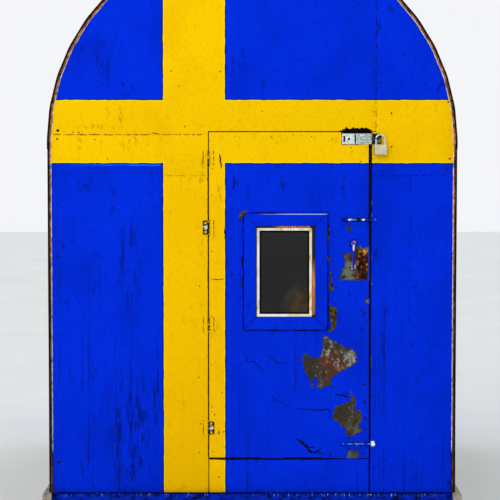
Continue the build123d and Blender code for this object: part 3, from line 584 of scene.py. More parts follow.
def flag_paint(tree, with_cross=True):
    """Colour of the paint in the hut's own coordinates: two flat colours that meet on a brushed
    edge, each with its own mottling, water streaks, smudges and specks of dirt. Where there is
    a cross, a painted highlight runs just inside its edge and a line of painted shade just
    outside it."""
    place = position(tree)
    broad = add(tree, "TexNoise", {"Vector": at_scale(tree, (240, 240, 330)), "Scale": 1.0, "Detail": 5.0})
    blue = add(tree, "ValToRGB", (broad,), ((0.34, "#0028cc"), (0.5, "#002cda"), (0.68, "#002ee0")))
    fine = add(tree, "TexNoise", {"Vector": at_scale(tree, (13, 13, 19)), "Scale": 1.0, "Detail": 5.0})
    mottle = add(tree, "MapRange", (fine, 0.48, 0.72, 0, 0.5))
    blue = add(tree, "MixRGB", (mottle, blue, "#0022b0"))
    streak = add(tree, "TexNoise", {"Vector": at_scale(tree, (11, 40, 900)), "Scale": 1.0, "Detail": 3.0})
    streak = add(tree, "MapRange", (streak, 0.56, 0.72))
    patchy = add(tree, "TexNoise", {"Vector": at_scale(tree, (190, 190, 260)), "Scale": 1.0, "Detail": 3.0})
    patchy = add(tree, "MapRange", (patchy, 0.42, 0.62))
    low = add(tree, "MapRange", (place["Z"], FLOOR + 1300 * MM, FLOOR + 150 * MM))
    streak = add(tree, "MULTIPLY", (streak, patchy))
    streak = add(tree, "MULTIPLY", (streak, low))
    blue = add(tree, "MixRGB", (streak, blue, "#06187a"))
    run = add(
        tree,
        "TexNoise",
        {"Vector": at_scale(tree, (14, 40, 75)), "Scale": 1.0, "Detail": 8.0, "Roughness": 0.65},
    )
    run = add(tree, "MapRange", (run, 0.48, 0.68))
    for spot in (
        (-555, 270, 120, 380), (-495, 330, 38, 240), (-610, 90, 20, 130), (-540, 80, 20, 110),
        (-765, 110, 12, 70), (-550, 1020, 70, 260), (-640, 1950, 70, 120), (592, 700, 22, 220),
        (-430, 470, 20, 330),
    ):
        zone = oval(tree, place, spot, 1.0, 0.4, 0.95)
        zone = add(tree, "MULTIPLY", (zone, run))
        blue = add(tree, "MixRGB", (zone, blue, "#030e4a"))

    # Hair cracks of the veneer under the paint: upright, 2 mm wide and broken into dashes.
    dash = add(tree, "TexNoise", {"Vector": at_scale(tree, (4, 4, 34)), "Scale": 1.0, "Detail": 4.0})
    dash = add(tree, "MapRange", (dash, 0.42, 0.56))
    waver = add(tree, "MapRange", (broad, 0, 1, -12 * MM, 12 * MM))
    for x, low_end, high_end in (
        (-714, 0, 640), (-612, 0, 690), (-541, 0, 900), (704, 740, 1430), (592, 60, 700)
    ):
        shaken = add(tree, "ADD", (place["X"], waver))
        line = add(tree, "COMPARE", (shaken, x * MM, 1.2 * MM))
        middle_z = FLOOR + (low_end + high_end) / 2 * MM
        extent = add(tree, "COMPARE", (place["Z"], middle_z, (high_end - low_end) / 2 * MM))
        line = add(tree, "MULTIPLY", (line, extent))
        line = add(tree, "MULTIPLY", (line, dash))
        blue = add(tree, "MixRGB", (line, blue, "#020d3e"))
    smudge = add(tree, "TexNoise", {"Vector": at_scale(tree, (30, 30, 55)), "Scale": 1.0, "Detail": 6.0})
    smudge = add(tree, "MapRange", (smudge, 0.6, 0.78))
    smudge = add(tree, "MULTIPLY", (smudge, patchy))
    blue = add(tree, "MixRGB", (smudge, blue, "#061461"))

    tone = add(tree, "MapRange", (place["Z"], FLOOR, FLOOR + 1.9))
    yellow = add(tree, "MixRGB", (tone, "#f6be00", "#f9c900"))
    cloud = add(tree, "MapRange", (broad, 0.3, 0.5, 0.4))
    yellow = add(tree, "MixRGB", (cloud, "#efb600", yellow))
    mottle = add(tree, "MapRange", (fine, 0.52, 0.78, 0, 0.5))
    yellow = add(tree, "MixRGB", (mottle, yellow, "#dfa200"))
    yellow_smudge = add(tree, "MULTIPLY", (smudge, 0.5))
    yellow = add(tree, "MixRGB", (yellow_smudge, yellow, "#8f6210"))
    seep = add(tree, "TexNoise", {"Vector": at_scale(tree, (9, 9, 15)), "Scale": 1.0, "Detail": 6.0})
    seep = add(tree, "MapRange", (seep, 0.49, 0.66, 0, 0.6))
    for spot in (
        (-588, 1685, 12, 55), (-643, 1715, 10, 45), (-545, 1565, 45, 32), (-770, 1560, 14, 40),
        (-236, 1896, 22, 5), (-325, 1904, 22, 4), (-298, 1646, 20, 4), (-150, 1340, 16, 60),
        (-700, 1640, 110, 12), (-174, 1172, 14, 30), (120, 1590, 40, 22), (360, 1580, 20, 16),
    ):
        zone = oval(tree, place, spot, 1.3, 0.5)
        zone = add(tree, "MULTIPLY", (zone, seep))
        yellow = add(tree, "MixRGB", (zone, yellow, "#b06404"))

    colour = blue
    if with_cross:
        brush = add(tree, "TexNoise", {"Vector": at_scale(tree, (42, 42, 42)), "Scale": 1.0, "Detail": 4.0})
        slip = add(tree, "MapRange", (brush, 0, 1, -3.5 * MM, 3.5 * MM))
        shaken = [add(tree, "ADD", (place[axis], slip)) for axis in "XZ"]
        inner, cross, outer = (on_cross(tree, *shaken, margin) for margin in (-4.0 * MM, 0.0, 4.4 * MM))
        # Painted highlight: a brighter yellow rim just inside the cross's edge.
        cross_rim_highlight = add(tree, "MixRGB", (0.7, yellow, "#ffe400"))
        yellow = add(tree, "MixRGB", (inner, cross_rim_highlight, yellow))
        # Painted shade: a dark line just outside the cross's edge, broken by the brush noise.
        cross_edge_shade = add(tree, "MapRange", (brush, 0.34, 0.48, 0.55, 0.97))
        cross_edge_shade = add(tree, "MULTIPLY", (cross_edge_shade, outer))
        # Fresh blue cut in under the level bar on the hinge side, brighter than the old coat.
        fresh = add(tree, "MapRange", (place["X"], -860 * MM, -560 * MM, 0, 0.9))
        left_of_bar = add(tree, "LESS_THAN", (place["X"], UPRIGHT_BAR[0] - 12 * MM))
        fresh_z = LEVEL_BAR[0] - 9 * MM
        strip = add(tree, "COMPARE", (shaken[1], fresh_z, 3.0 * MM))
        fresh = add(tree, "MULTIPLY", (fresh, strip))
        fresh = add(tree, "MULTIPLY", (fresh, left_of_bar))
        brushed_out = add(tree, "MapRange", (brush, 0.38, 0.5, 0.35))
        fresh = add(tree, "MULTIPLY", (fresh, brushed_out))
        blue = add(tree, "MixRGB", (fresh, blue, "#0b6cff"))
        blue = add(tree, "MixRGB", (cross_edge_shade, blue, "#010a38"))
        colour = add(tree, "MixRGB", (cross, blue, yellow))

    speck = add(tree, "TexVoronoi", {"Vector": at_scale(tree, (46, 46, 46)), "Scale": 1.0})
    size = add(tree, "SeparateXYZ", (speck.outputs["Color"],))
    size = add(tree, "MapRange", (size.outputs["X"], 0.4, 1.0, 0, 0.07))
    spot = add(tree, "LESS_THAN", (speck.outputs["Distance"], size))
    colour = add(tree, "MixRGB", (spot, colour, "#0c0808"))
    return colour


def painted_plywood(name, face, with_cross):
    """Oil paint on veneer: brush marks and lifted grain 3 mm across. It gives the eye a flat,
    even colour with a faint upright grain, and raw edges made near black: dirty wood, and
    painted shade in the narrow joints."""
    material, tree = new_material(name)
    place = position(tree)
    depth = add(tree, "SUBTRACT", (place["Y"], face))
    depth = add(tree, "ABSOLUTE", (depth,))
    raw = add(tree, "GREATER_THAN", (depth, 1.6 * MM))
    inner = add(tree, "GREATER_THAN", (depth, PANEL - 0.3 * MM))
    figure = add(tree, "TexNoise", {"Vector": at_scale(tree, (6, 60, 380)), "Scale": 1.0, "Detail": 4.0})
    inside = add(tree, "ValToRGB", (figure,), ((0.35, "#9c7347"), (0.62, "#bf9766")))
    # Raw cut edges: dirty wood, made near black as painted shade in the narrow joints.
    edge = add(tree, "ValToRGB", (figure,), ((0.35, "#120c07"), (0.65, "#3b2716")))
    colour = add(tree, "MixRGB", (raw, flag_paint(tree, with_cross), edge))
    colour = add(tree, "MixRGB", (inner, colour, inside))
    grain = add(tree, "TexNoise", {"Vector": at_scale(tree, (3, 3, 110)), "Scale": 1.0, "Detail": 4.0})
    close_material(tree, colour, 0.8, grain, 0.5 * MM, {"Specular IOR Level": 0.02})
    return material


front_finish = painted_plywood("flat_oil_paint_on_plywood", FRONT, True)
for node, slot in (
    ("front_panel_left", "blue_paint"),
    ("front_strip_left", "yellow_paint"),
    ("front_panel_right", "blue_paint"),
    ("front_panel_under_door", "blue_paint"),
    ("front_arch_left", "blue_paint"),
    ("front_arch_right", "blue_paint"),
):
    panel = link(node.replace("front_", "painted_"), eased(node, 1.2 * MM), front_finish)
    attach(panel, "hut")
    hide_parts(node)

back_finish = painted_plywood("flat_blue_oil_paint", -FRONT, False)
for node in ("back_panels", "back_arch_panel"):
    panel = link(node.replace("back_", "painted_back_"), eased(node, 1.2 * MM), back_finish)
    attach(panel, "hut")
    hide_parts(node)

# ---------------------------------------------------------------- front joints and nails
# The paint runs over the joints between the front panels and has cracked along them, most
# over the door's head and down the seam of the arch. Beads of putty close the corner between
# the panels and the board ends, and rusty nails hold the panels to the frame behind.
front_way = Vector((0, -1, 0))


def outward_normals(loop):
    """Unit normal at each corner of a closed outline, pointing out of it."""
    area = sum(a.x * b.y - b.x * a.y for a, b in zip(loop, loop[1:] + loop[:1]))
    normals = []
    for i in range(len(loop)):
        run = loop[(i + 1) % len(loop)] - loop[i - 1]
        normal = Vector((run.y, -run.x)) * (1 if area > 0 else -1)
        normals.append(normal.normalized())
    return normals


def broken(loop, step, amount):
    """Closed outline with its sides broken unevenly, as brittle paint breaks."""
    points = []
    for i, start in enumerate(loop):
        run = loop[(i + 1) % len(loop)] - start
        count = max(1, round(run.length / step))
        for k in range(count):
            place = start + run * (k / count)
            shift = noise.noise_vector(Vector((place.x, 0, place.y)) / (9 * MM))
            points.append(place + Vector((shift.x, shift.z)) * amount)
    return points


def moved_out(loop, distance):
    """The outline moved outwards by an uneven distance."""
    moved = []
    for place, normal in zip(loop, outward_normals(loop)):
        share = 1 + 0.8 * noise.noise(Vector((place.x, 7, place.y)) / (11 * MM))
        moved.append(place + normal * (distance * share))
    return moved


def split_outline(places, width):
    """Outline of a crack that tapers to nothing at its ends and is uneven between."""
    line = []
    for start, end in zip(places, places[1:]):
        count = max(1, round((end - start).length / (5 * MM)))
        line += [start + (end - start) * (k / count) for k in range(count)]
    line.append(places[-1])
    left, right = [], []
    for i, place in enumerate(line):
        run = (line[min(i + 1, len(line) - 1)] - line[max(i - 1, 0)]).normalized()
        normal = Vector((-run.y, run.x))
        taper = 0.15 + 0.85 * math.sqrt(abs(math.sin(math.pi * i / (len(line) - 1))))
        for side, points, seed in ((1, left, 0), (-1, right, 5)):
            uneven = 0.6 + 0.55 * noise.noise(Vector((place.x, seed, place.y)) / (8 * MM))
            points.append(place + normal * (side * width / 2 * taper * uneven))
    return left + right[::-1]


def coat(bm, loops, face, level, curl):
    """Paint at a level in front of an upright face, inside the first outline and outside the
    others. With a curl its broken edges lift forward and it ripples a little between them."""
    points, outlines = [], []
    for loop in loops:
        outlines.append(list(range(len(points), len(points) + len(loop))))
        points += loop
    rims = [place for loop in loops[1:] for place in loop]
    rim_tree = KDTree(max(1, len(rims)))
    for i, place in enumerate(rims):
        rim_tree.insert((place.x, 0, place.y), i)
    rim_tree.balance()
    if curl:
        for loop in loops[1:]:
            for distance in (1.6 * MM, 4.5 * MM):
                points += [p + n * distance for p, n in zip(loop, outward_normals(loop))]
        left, right = min(p.x for p in loops[0]), max(p.x for p in loops[0])
        foot, head = min(p.y for p in loops[0]), max(p.y for p in loops[0])
        for i in range(1, int((right - left) / (30 * MM))):
            for k in range(1, int((head - foot) / (30 * MM))):
                points.append(Vector((left + i * 30 * MM, foot + k * 30 * MM)))
    places, _, faces = geometry.delaunay_2d_cdt(points, [], outlines, 2, 1e-7)[:3]
    verts = []
    for place in places:
        forward = level
        if rims and curl:
            away = rim_tree.find((place.x, 0, place.y))[2]
            uneven = max(0.0, 0.45 + noise.noise(Vector((place.x, 3, place.y)) / (28 * MM)))
            forward += curl * uneven * math.exp(-away / (2.2 * MM))
            ripple = 0.5 * MM * (1 + noise.noise(Vector((place.x, 0, place.y)) / 0.15))
            forward += ripple * min(1, away / 0.03)
        verts.append(bm.verts.new((place.x, face - forward, place.y)))
    for face in faces:
        bm.faces.new([verts[i] for i in face])
    bmesh.ops.delete(bm, geom=[v for v in bm.verts if not v.link_faces], context="VERTS")


def oil_paint(name, colours):
    """Flat oil paint on steel with brush marks 3 mm apart. It gives the eye the same even, chalky
    colour as the walls, without their grain."""
    material, tree = new_material(name)
    brush = add(tree, "TexNoise", {"Vector": at_scale(tree, (60, 3, 3)), "Scale": 1.0, "Detail": 3.0})
    close_material(tree, colours(tree), 0.75, brush, 0.2 * MM, {"Specular IOR Level": 0.02})
    return material


def crack_dirt_and_shade_colours(tree):
    """Soot and rust packed into the cracks, drawn near black as painted shade in them."""
    darkening = add(tree, "TexNoise", {"Vector": at_scale(tree, (10, 10, 10)), "Scale": 1.0, "Detail": 3.0})
    return add(tree, "ValToRGB", (darkening,), ((0.5, "#040408"), (0.72, "#2a1708")))


def bridged(paint_bm, joint_fill_bm, start, end, open_share, width, dice, rise=None):
    """Paint over a joint from start to end, cracked over a share of its length."""
    run = end - start
    along = run.normalized()
    across = Vector((-along.y, along.x)) * 5 * MM
    strip = broken([start - across, end - across, end + across, start + across], 30 * MM, 1.0 * MM)
    splits = []
    reach = 3 * MM
    while reach < run.length - 30 * MM:
        piece = dice.uniform(12, 60) * MM
        stop = min(reach + piece, run.length - 3 * MM)
        places = []
        for k in range(6):
            place = start + along * (reach + (stop - reach) * k / 5)
            shift = dice.uniform(-1.4, 1.4) * MM
            if rise:
                shift += rise(place.x)
            places.append(place + across.normalized() * shift)
        splits.append(split_outline(places, width * dice.uniform(0.75, 1.25)))
        reach = stop + dice.uniform(0.5, 4) * MM
        reach += piece * (1 - open_share) / open_share * dice.uniform(0.5, 1.5)
    coat(paint_bm, [strip, *splits], FRONT, 0.3 * MM, 0)
    for split in splits:
        coat(joint_fill_bm, [moved_out(split, 1.2 * MM)], FRONT, 0.12 * MM, 0)


def joint_dirt_and_shade_colours(tree):
    """Rusty brown grit in the joints where the paint is yellow, and near black where it is
    blue: dirt, and painted shade in the crack.
    """
    grit = add(tree, "TexNoise", {"Vector": at_scale(tree, (9, 9, 9)), "Scale": 1.0, "Detail": 4.0})
    rusty = add(tree, "ValToRGB", (grit,), ((0.34, "#571a04"), (0.46, "#9c3e06"), (0.64, "#c4700f")))
    black = add(tree, "ValToRGB", (grit,), ((0.4, "#010208"), (0.7, "#030f44")))
    place = position(tree)
    return add(tree, "MixRGB", (on_cross(tree, place["X"], place["Z"]), black, rusty))


joint_paint = oil_paint("oil_paint_over_joints", flag_paint)
crack_dirt_and_shade = oil_paint("dirt_and_shade_in_cracks", crack_dirt_and_shade_colours)
joint_dirt_and_shade = oil_paint("dirt_and_shade_in_joints", joint_dirt_and_shade_colours)

side_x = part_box("front_panel_left")[0].x + 4 * MM
hinge_gap_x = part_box("front_panel_left")[1].x - 1 * MM
latch_gap_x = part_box("front_panel_right")[0].x + 1 * MM
girt_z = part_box("front_panel_left")[1].z + 1.5 * MM
head_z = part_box("front_arch_left")[0].z - 1.5 * MM
seam_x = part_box("front_arch_left")[1].x + 1.5 * MM
seam_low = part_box("door_skin")[1].z + 6 * MM
seam_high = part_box("front_arch_right")[1].z - 6 * MM


def knot_bump(x):
    """The crack over the head joint steps up round one knot in the veneer."""
    return 6 * MM * math.exp(-(((x + 436 * MM) / (22 * MM)) ** 2)) - 1 * MM


paint_bm, joint_fill_bm = bmesh.new(), bmesh.new()
dice = random.Random(5)
for start, end, open_share, width, rise in (
    ((side_x, head_z), (hinge_gap_x, head_z), 0.97, 7.2, knot_bump),
    ((side_x, girt_z), (UPRIGHT_BAR[0], girt_z), 0.4, 1.8, None),
    ((UPRIGHT_BAR[0], girt_z), (hinge_gap_x, girt_z), 0.9, 3.6, None),
    ((latch_gap_x, girt_z), (-side_x, girt_z), 0.95, 4.2, None),
    ((seam_x, seam_low), (seam_x, seam_high), 0.74, 5.0, None),
):
    bridged(paint_bm, joint_fill_bm, Vector(start), Vector(end), open_share, width * MM, dice, rise)
joint_skin = link("front_joint_paint", paint_bm, joint_paint)
thicken(joint_skin, 0.2 * MM)
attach(joint_skin, "hut")
# Fill under the cracks over the joints: grit, and painted shade in the cracks.
joint_fill = link("front_joint_dirt", joint_fill_bm, joint_dirt_and_shade)
thicken(joint_fill, 0.1 * MM)
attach(joint_fill, "hut")

# Face veneer torn off the arch panel over the hasp, down to dark wet plies.
door_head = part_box("door_skin")[1].z
torn_outline = [
    Vector((x * MM, door_head + rise * MM))
    for x, rise in (
        (386, 4.5), (392, 8), (399, 7), (404, 14), (411, 13), (418, 25), (423, 17), (436, 15), (444, 17),
        (449, 24), (455, 17), (468, 19), (478, 15), (488, 21), (496, 17), (506, 21), (514, 15), (524, 12),
        (533, 7), (536, 4.5),
    )
]
bm = bmesh.new()
coat(bm, [broken(torn_outline, 4 * MM, 1.5 * MM)], FRONT, 0.35 * MM, 0)


def splintered(bm, start, end, widths, face):
    """Broken edge along one side of a gap, drawn black as painted shade that widens the gap. The
    widths run evenly from start to end, on the left of that direction."""
    run = end - start
    side = Vector((-run.y, run.x)).normalized()
    count = round(run.length / (9 * MM))
    rim = []
    for k in range(count + 1):
        share = k / count
        place = start + run * share
        spot = share * (len(widths) - 1)
        i = min(int(spot), len(widths) - 2)
        width = widths[i] + (widths[i + 1] - widths[i]) * (spot - i)
        width *= 1 + 0.9 * noise.noise(Vector((place.x, 1, place.y)) / (13 * MM))
        rim.append(place + side * max(0.3, width) * MM)
    coat(bm, [[start, *rim, end]], face, 0.35 * MM, 0)


panel_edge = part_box("front_panel_right")[0].x + 0.3 * MM
arch_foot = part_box("front_arch_left")[0].z + 0.3 * MM
hinge_side_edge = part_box("front_panel_left")[1].x - 0.3 * MM
sill_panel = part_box("front_panel_under_door")
for start, end, widths in (
    (
        (panel_edge, door_head), (panel_edge, FLOOR + 160 * MM),
        (4.5, 4.5, 3.5, 2.5, 3, 1.5, 2.5, 1, 2, 1, 1.5, 0.6),
    ),
    ((hinge_side_edge, arch_foot), (390 * MM, arch_foot), (0.4, 1.4, 0.6, 1.8, 1, 2, 3, 4)),
    ((hinge_side_edge, FLOOR + 1230 * MM), (hinge_side_edge, FLOOR + 1470 * MM), (1.5, 2.5, 1.5, 2.5, 2)),
    (
        (sill_panel[1].x - 2 * MM, sill_panel[1].z), (sill_panel[0].x + 4 * MM, sill_panel[1].z),
        (0.4, 0.5, 2.2, 3.6, 3, 3.4, 2.8, 3.6, 3.2),
    ),
    ((hinge_side_edge, FLOOR + 790 * MM), (hinge_side_edge, FLOOR + 1160 * MM), (2, 1.2, 2.4, 1.2, 1.8)),
    ((hinge_side_edge, FLOOR + 330 * MM), (hinge_side_edge, FLOOR + 720 * MM), (1.8, 1.1, 2, 1.2, 1.5, 1)),
    ((hinge_side_edge, FLOOR + 160 * MM), (hinge_side_edge, FLOOR + 255 * MM), (1.4, 2, 1.2)),
):
    splintered(bm, Vector(start), Vector(end), widths, FRONT)
torn = link("torn_veneer_over_hasp", bm, crack_dirt_and_shade)
thicken(torn, 0.3 * MM)
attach(torn, "hut")

# Putty bead: chalky and pale, grey where dirt sticks, laid by finger in the corner.
putty, tree = new_material("weathered_putty")
lumps = add(tree, "TexNoise", {"Vector": at_scale(tree, (14, 14, 22)), "Scale": 1.0, "Detail": 4.0})
colour = add(tree, "ValToRGB", (lumps,), ((0.34, "#7b7a70"), (0.44, "#b9bab0"), (0.6, "#e4e4da")))
place = position(tree)
damp = add(tree, "MapRange", (place["Z"], FLOOR + 215 * MM, FLOOR + 175 * MM))
colour = add(tree, "MixRGB", (damp, colour, "#1d130c"))
close_material(tree, colour, 0.9, lumps, 0.4 * MM, {"Specular IOR Level": 0.1})
bm = bmesh.new()
rows = []
for point, normal in arch_path(17.2 * MM, FLOOR + 2 * MM, 22 * MM):
    lump = 2.7 * MM * (1 + 0.5 * noise.noise(Vector((point.x, 0, point.z)) * 30))
    corner = Vector((point.x, FRONT, point.z))
    rows.append(
        [
            corner + front_way * lump,
            corner - normal * (lump * 0.5) + front_way * (lump * 0.6),
            corner - normal * (lump * 1.1) + front_way * (0.1 * MM),
            corner + Vector((0, 1.5 * MM, 0)),
            corner + front_way * lump,
        ]
    )
sheet(bm, rows)
bmesh.ops.remove_doubles(bm, verts=bm.verts, dist=0.001 * MM)
bmesh.ops.holes_fill(bm, edges=bm.edges)
bead_of_putty = link("putty_bead", bm, putty)
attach(bead_of_putty, "hut")

# Nail heads under a crust of old rust. They give the eye matte dots, black going to brown.
nail_rust, tree = new_material("rusted_nail")
crust = add(tree, "TexNoise", {"Vector": at_scale(tree, (3, 3, 3)), "Scale": 1.0, "Detail": 4.0})
colour = add(tree, "ValToRGB", (crust,), ((0.35, "#060302"), (0.6, "#1a0b05"), (0.75, "#40190a")))
close_material(tree, colour, 0.85, crust, 0.3 * MM, {"Specular IOR Level": 0.2})

bm = bmesh.new()
for x, height, radius in (
    (-817, 1891, 2.6), (-700, 1888, 2.8), (-610, 1887, 2.6), (-519, 1888, 2.6), (-360, 1887, 2.6),
    (-142, 1885, 2.6), (107, 1886, 3.0), (195, 1886, 2.8), (275, 1889, 2.8), (373, 1884, 2.6),
    (612, 2117, 2.6), (614, 1983, 2.6), (617, 1842, 2.8), (569, 1838, 3.4), (575, 1775, 2.6),
    (532, 1941, 3.0), (540, 2050, 2.6), (566, 1968, 2.6), (-865, 1624, 5.4), (-868, 1587, 3.8),
    (-868, 1300, 2.6), (-866, 930, 2.6), (-866, 520, 2.6), (-871, 136, 5.0), (-863, 139, 3.4),
    (-628, 206, 3.2), (871, 1751, 3.6), (879, 1499, 3.6), (867, 1454, 4.4), (872, 1180, 2.6),
    (870, 840, 2.6), (872, 420, 2.6), (868, 90, 2.8), (619, 1701, 3.2), (542, 1707, 2.6), (619, 1551, 2.8),
    (-797, 1617, 2.4), (-771, 1616, 2.4), (-700, 1584, 2.4), (-520, 1590, 2.2), (-300, 1640, 2.2),
    (-420, 60, 2.6), (-150, 70, 2.6), (90, 60, 2.6), (330, 64, 2.6), (620, 60, 2.6), (-560, 66, 2.6),
    (-720, 60, 2.6), (556, 800, 2.6), (555, 1120, 2.6), (554, 500, 2.6), (556, 220, 2.6), (-236, 930, 2.4),
    (-240, 520, 2.4), (-238, 180, 2.4),
):
    nail_head(bm, Vector((x * MM, FRONT, FLOOR + height * MM)), front_way, 1.25 * radius * MM, 0.8 * MM)
front_nails = link("front_panel_nails", bm, nail_rust)
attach(front_nails, "hut")

bm = bmesh.new()
for height in (60, 480, 900, 1340, 1520, 1820, 2100):
    for x in (-850, -420, -30, 30, 420, 850):
        if height > 1600 and abs(x) > 800:
            continue
        spot = Vector((x * MM, -FRONT, FLOOR + height * MM))
        nail_head(bm, spot, -front_way, 3.0 * MM, 0.8 * MM)
back_nails = link("back_panel_nails", bm, nail_rust)
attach(back_nails, "hut")

# ---------------------------------------------------------------- door
# Plywood leaf on four battens, faced with one thin steel sheet that carries two coats: an old
# ochre one under the blue and yellow. Knocks and ice have flaked both off along the latch
# side and round the window, and cracked them low down. The steel beneath is grey and rusty.
latch_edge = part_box("door_skin")[1].x
hinge_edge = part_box("door_skin")[0].x
door_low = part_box("door_skin")[0].z
door_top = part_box("door_skin")[1].z
steel_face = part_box("door_skin")[0].y

dress("door_leaf", bare_plywood("spruce_plywood_door", 2, "#bb9262", "#9d7448", "#6a4c30", 0.2))
dress("door_battens", sawn_timber("sawn_spruce_batten", 0, "#c9a477", "#a87e52", "#7a5c3e", 0.12))


def at_door(along, up):
    """Place on the door's face, in millimetres left of its latch edge and above its foot."""
    return Vector((latch_edge - along * MM, door_low + up * MM))


def on_door(loop):
    """The outline kept within the edges of the leaf."""
    kept = []
    for place in loop:
        x = min(max(place.x, hinge_edge), latch_edge - 0.2 * MM)
        z = min(max(place.y, door_low + 0.2 * MM), door_top)
        kept.append(Vector((x, z)))
    return kept


def near(tree, along, up, radius):
    """Soft spot on the door's face: 1 at its middle, nothing beyond the radius in millimetres."""
    middle = at_door(along, up)
    here = add(tree, "TexCoord").outputs["Object"]
    away = add(tree, "VectorMath", (here, (middle.x, steel_face, middle.y)), operation="DISTANCE")
    away = away.outputs["Value"]
    return add(tree, "MapRange", (away, radius * MM, radius * 0.45 * MM))


# Zinc gone grey and brown, with iron rust where it was knocked through: blooms 25 mm across,
# and pale scratches 3 mm wide where it was scraped. It gives the eye a dull, mottled metal.
bare_steel, tree = new_material("rusty_galvanised_sheet")
bloom = add(tree, "TexNoise", {"Vector": at_scale(tree, (26, 26, 26)), "Scale": 1.0, "Detail": 6.0})
fine = add(tree, "TexNoise", {"Vector": at_scale(tree, (5, 5, 5)), "Scale": 1.0, "Detail": 4.0})
slant = add(tree, "Mapping", {"Vector": add(tree, "TexCoord").outputs["Object"], "Rotation": (0, 0.55, 0)})
slant = add(tree, "Mapping", {"Vector": slant, "Scale": (150, 150, 55)})
scrape = add(tree, "TexNoise", {"Vector": slant, "Scale": 1.0, "Detail": 5.0, "Distortion": 1.6})
rubbed = add(tree, "TexNoise", {"Vector": at_scale(tree, (22, 22, 30)), "Scale": 1.0, "Detail": 5.0})
rubbed = add(tree, "MapRange", (rubbed, 0.46, 0.58))
colour = add(tree, "ValToRGB", (bloom,), ((0.36, "#211c12"), (0.5, "#332d1f"), (0.66, "#4c442e")))
speckle = add(tree, "MapRange", (fine, 0.55, 0.68))
colour = add(tree, "MixRGB", (speckle, colour, "#553616"))
# The three near-black spots at the handle's feet and under its grip are painted shade of the handle; the
# other spots are rust and weathered zinc.
for along, up, radius, tone in (
    (185, 435, 75, "#57270f"), (125, 405, 60, "#582811"), (175, 385, 45, "#4a220d"),
    (75, 455, 34, "#5c6052"),
    (262, 430, 60, "#26231a"), (262, 372, 45, "#241f14"), (120, 205, 50, "#262015"),
    (60, 150, 40, "#454430"),
    (50, 115, 22, "#5a5a42"), (95, 820, 50, "#5f6a57"), (85, 860, 40, "#69705a"), (20, 945, 26, "#5d6650"),
    (52, 925, 30, "#2c3322"), (110, 905, 16, "#4c5030"), (163, 645, 45, "#666c4b"),
    (105, 20, 60, "#565739"),
    (15, 700, 25, "#6c6d50"), (60, 822, 14, "#4a1608"), (73, 824, 10, "#3a1206"),
    (72, 858, 21, "#10110a"), (72, 966, 21, "#10110a"), (58, 908, 16, "#1e1f14"),
):
    spot = near(tree, along, up, radius)
    uneven = add(tree, "MapRange", (bloom, 0.36, 0.52))
    spot = add(tree, "MULTIPLY", (spot, uneven))
    colour = add(tree, "MixRGB", (spot, colour, tone))
for along, up, radius, gate in (
    (110, 455, 85, 0.47), (80, 440, 46, 0.41), (190, 505, 64, 0.43), (205, 400, 55, 0.55),
    (262, 400, 40, 0.6), (90, 200, 40, 0.58), (60, 125, 30, 0.56), (225, 330, 26, 0.5),
):
    mark = add(tree, "MapRange", (scrape, gate, gate + 0.13))
    mark = add(tree, "MULTIPLY", (mark, near(tree, along, up, radius)))
    mark = add(tree, "MULTIPLY", (mark, rubbed))
    colour = add(tree, "MixRGB", (mark, colour, "#a5a994"))
close_material(tree, colour, 0.6, fine, 0.25 * MM, {"Metallic": 0.15, "Specular IOR Level": 0.3})

skin = link("door_steel_sheet", eased("door_skin", 0.3 * MM, 1), bare_steel)
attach(skin, "door")
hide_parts("door_skin")

BARE_PATCHES = (
    (  # large patch below the window
        (201, 559), (182, 544), (164, 531), (139, 522), (112, 502), (89, 496), (76, 496), (69, 482),
        (57, 484),
        (59, 467), (49, 455), (60, 447), (51, 433), (74, 420), (99, 403), (130, 386), (155, 372),
        (171, 359),
        (165, 330), (198, 323), (210, 309), (220, 314), (233, 321), (229, 340), (228, 360), (238, 364),
        (248, 359), (252, 340), (250, 305), (257, 324), (263, 349), (275, 371), (291, 400), (299, 435),
        (297, 463), (286, 474), (272, 461), (251, 456), (226, 454), (214, 469), (207, 497), (210, 528),
    ),
    (  # patch over the lower bolt
        (81, 314), (71, 281), (60, 272), (57, 244), (64, 223), (56, 215), (40, 218), (32, 205), (27, 180),
        (42, 152), (38, 139), (26, 125), (49, 111), (71, 102), (83, 95), (94, 99), (105, 118), (110, 140),
        (116, 146), (119, 137), (126, 148), (140, 167), (161, 175), (167, 180), (158, 194), (158, 213),
        (149, 235), (124, 244), (99, 250), (83, 263), (82, 275),
    ),
    (  # round the handle, running off the latch edge
        (-2, 953), (19, 951), (29, 943), (38, 963), (44, 955), (52, 950), (60, 954), (68, 942), (84, 920),
        (90, 923), (92, 929), (103, 925), (110, 907), (118, 924), (123, 923), (118, 905), (110, 889),
        (112, 859), (122, 853), (125, 831), (135, 808), (130, 800), (108, 803), (80, 800), (47, 801),
        (-2, 802),
    ),
    ((90, 36), (44, 37), (47, -2), (101, -2)),  # under the lower bolt
    ((-2, 720), (14, 724), (20, 712), (15, 700), (-2, 694)),  # chip on the latch edge
)
UNDERCOAT_PATCHES = (  # narrow flakes that stopped at the ochre coat
    (
        (191, 1047), (181, 1046), (177, 1024), (179, 1002), (176, 969), (179, 960), (184, 979),
        (186, 997), (192, 1018),
    ),
    ((188, 914), (178, 910), (171, 878), (174, 871), (181, 889), (189, 896)),
    (
        (174, 848), (167, 832), (168, 804), (159, 758), (163, 751), (171, 751), (178, 759), (182, 772),
        (174, 786), (179, 800), (176, 832),
    ),
    (
        (180, 697), (158, 679), (144, 679), (146, 616), (151, 588), (171, 572), (191, 571), (178, 585),
        (169, 601), (176, 650),
    ),
    (
        (585, 1088), (574, 1107), (556, 1116), (539, 1108), (557, 1102), (567, 1089), (576, 1069),
        (581, 1072),
    ),
    ((100, 1044), (90, 1046), (79, 1032), (89, 1019), (99, 1028)),
    ((262, 482), (254, 484), (252, 476), (260, 474)),
    ((139, 858), (133, 856), (132, 849), (138, 848)),
)
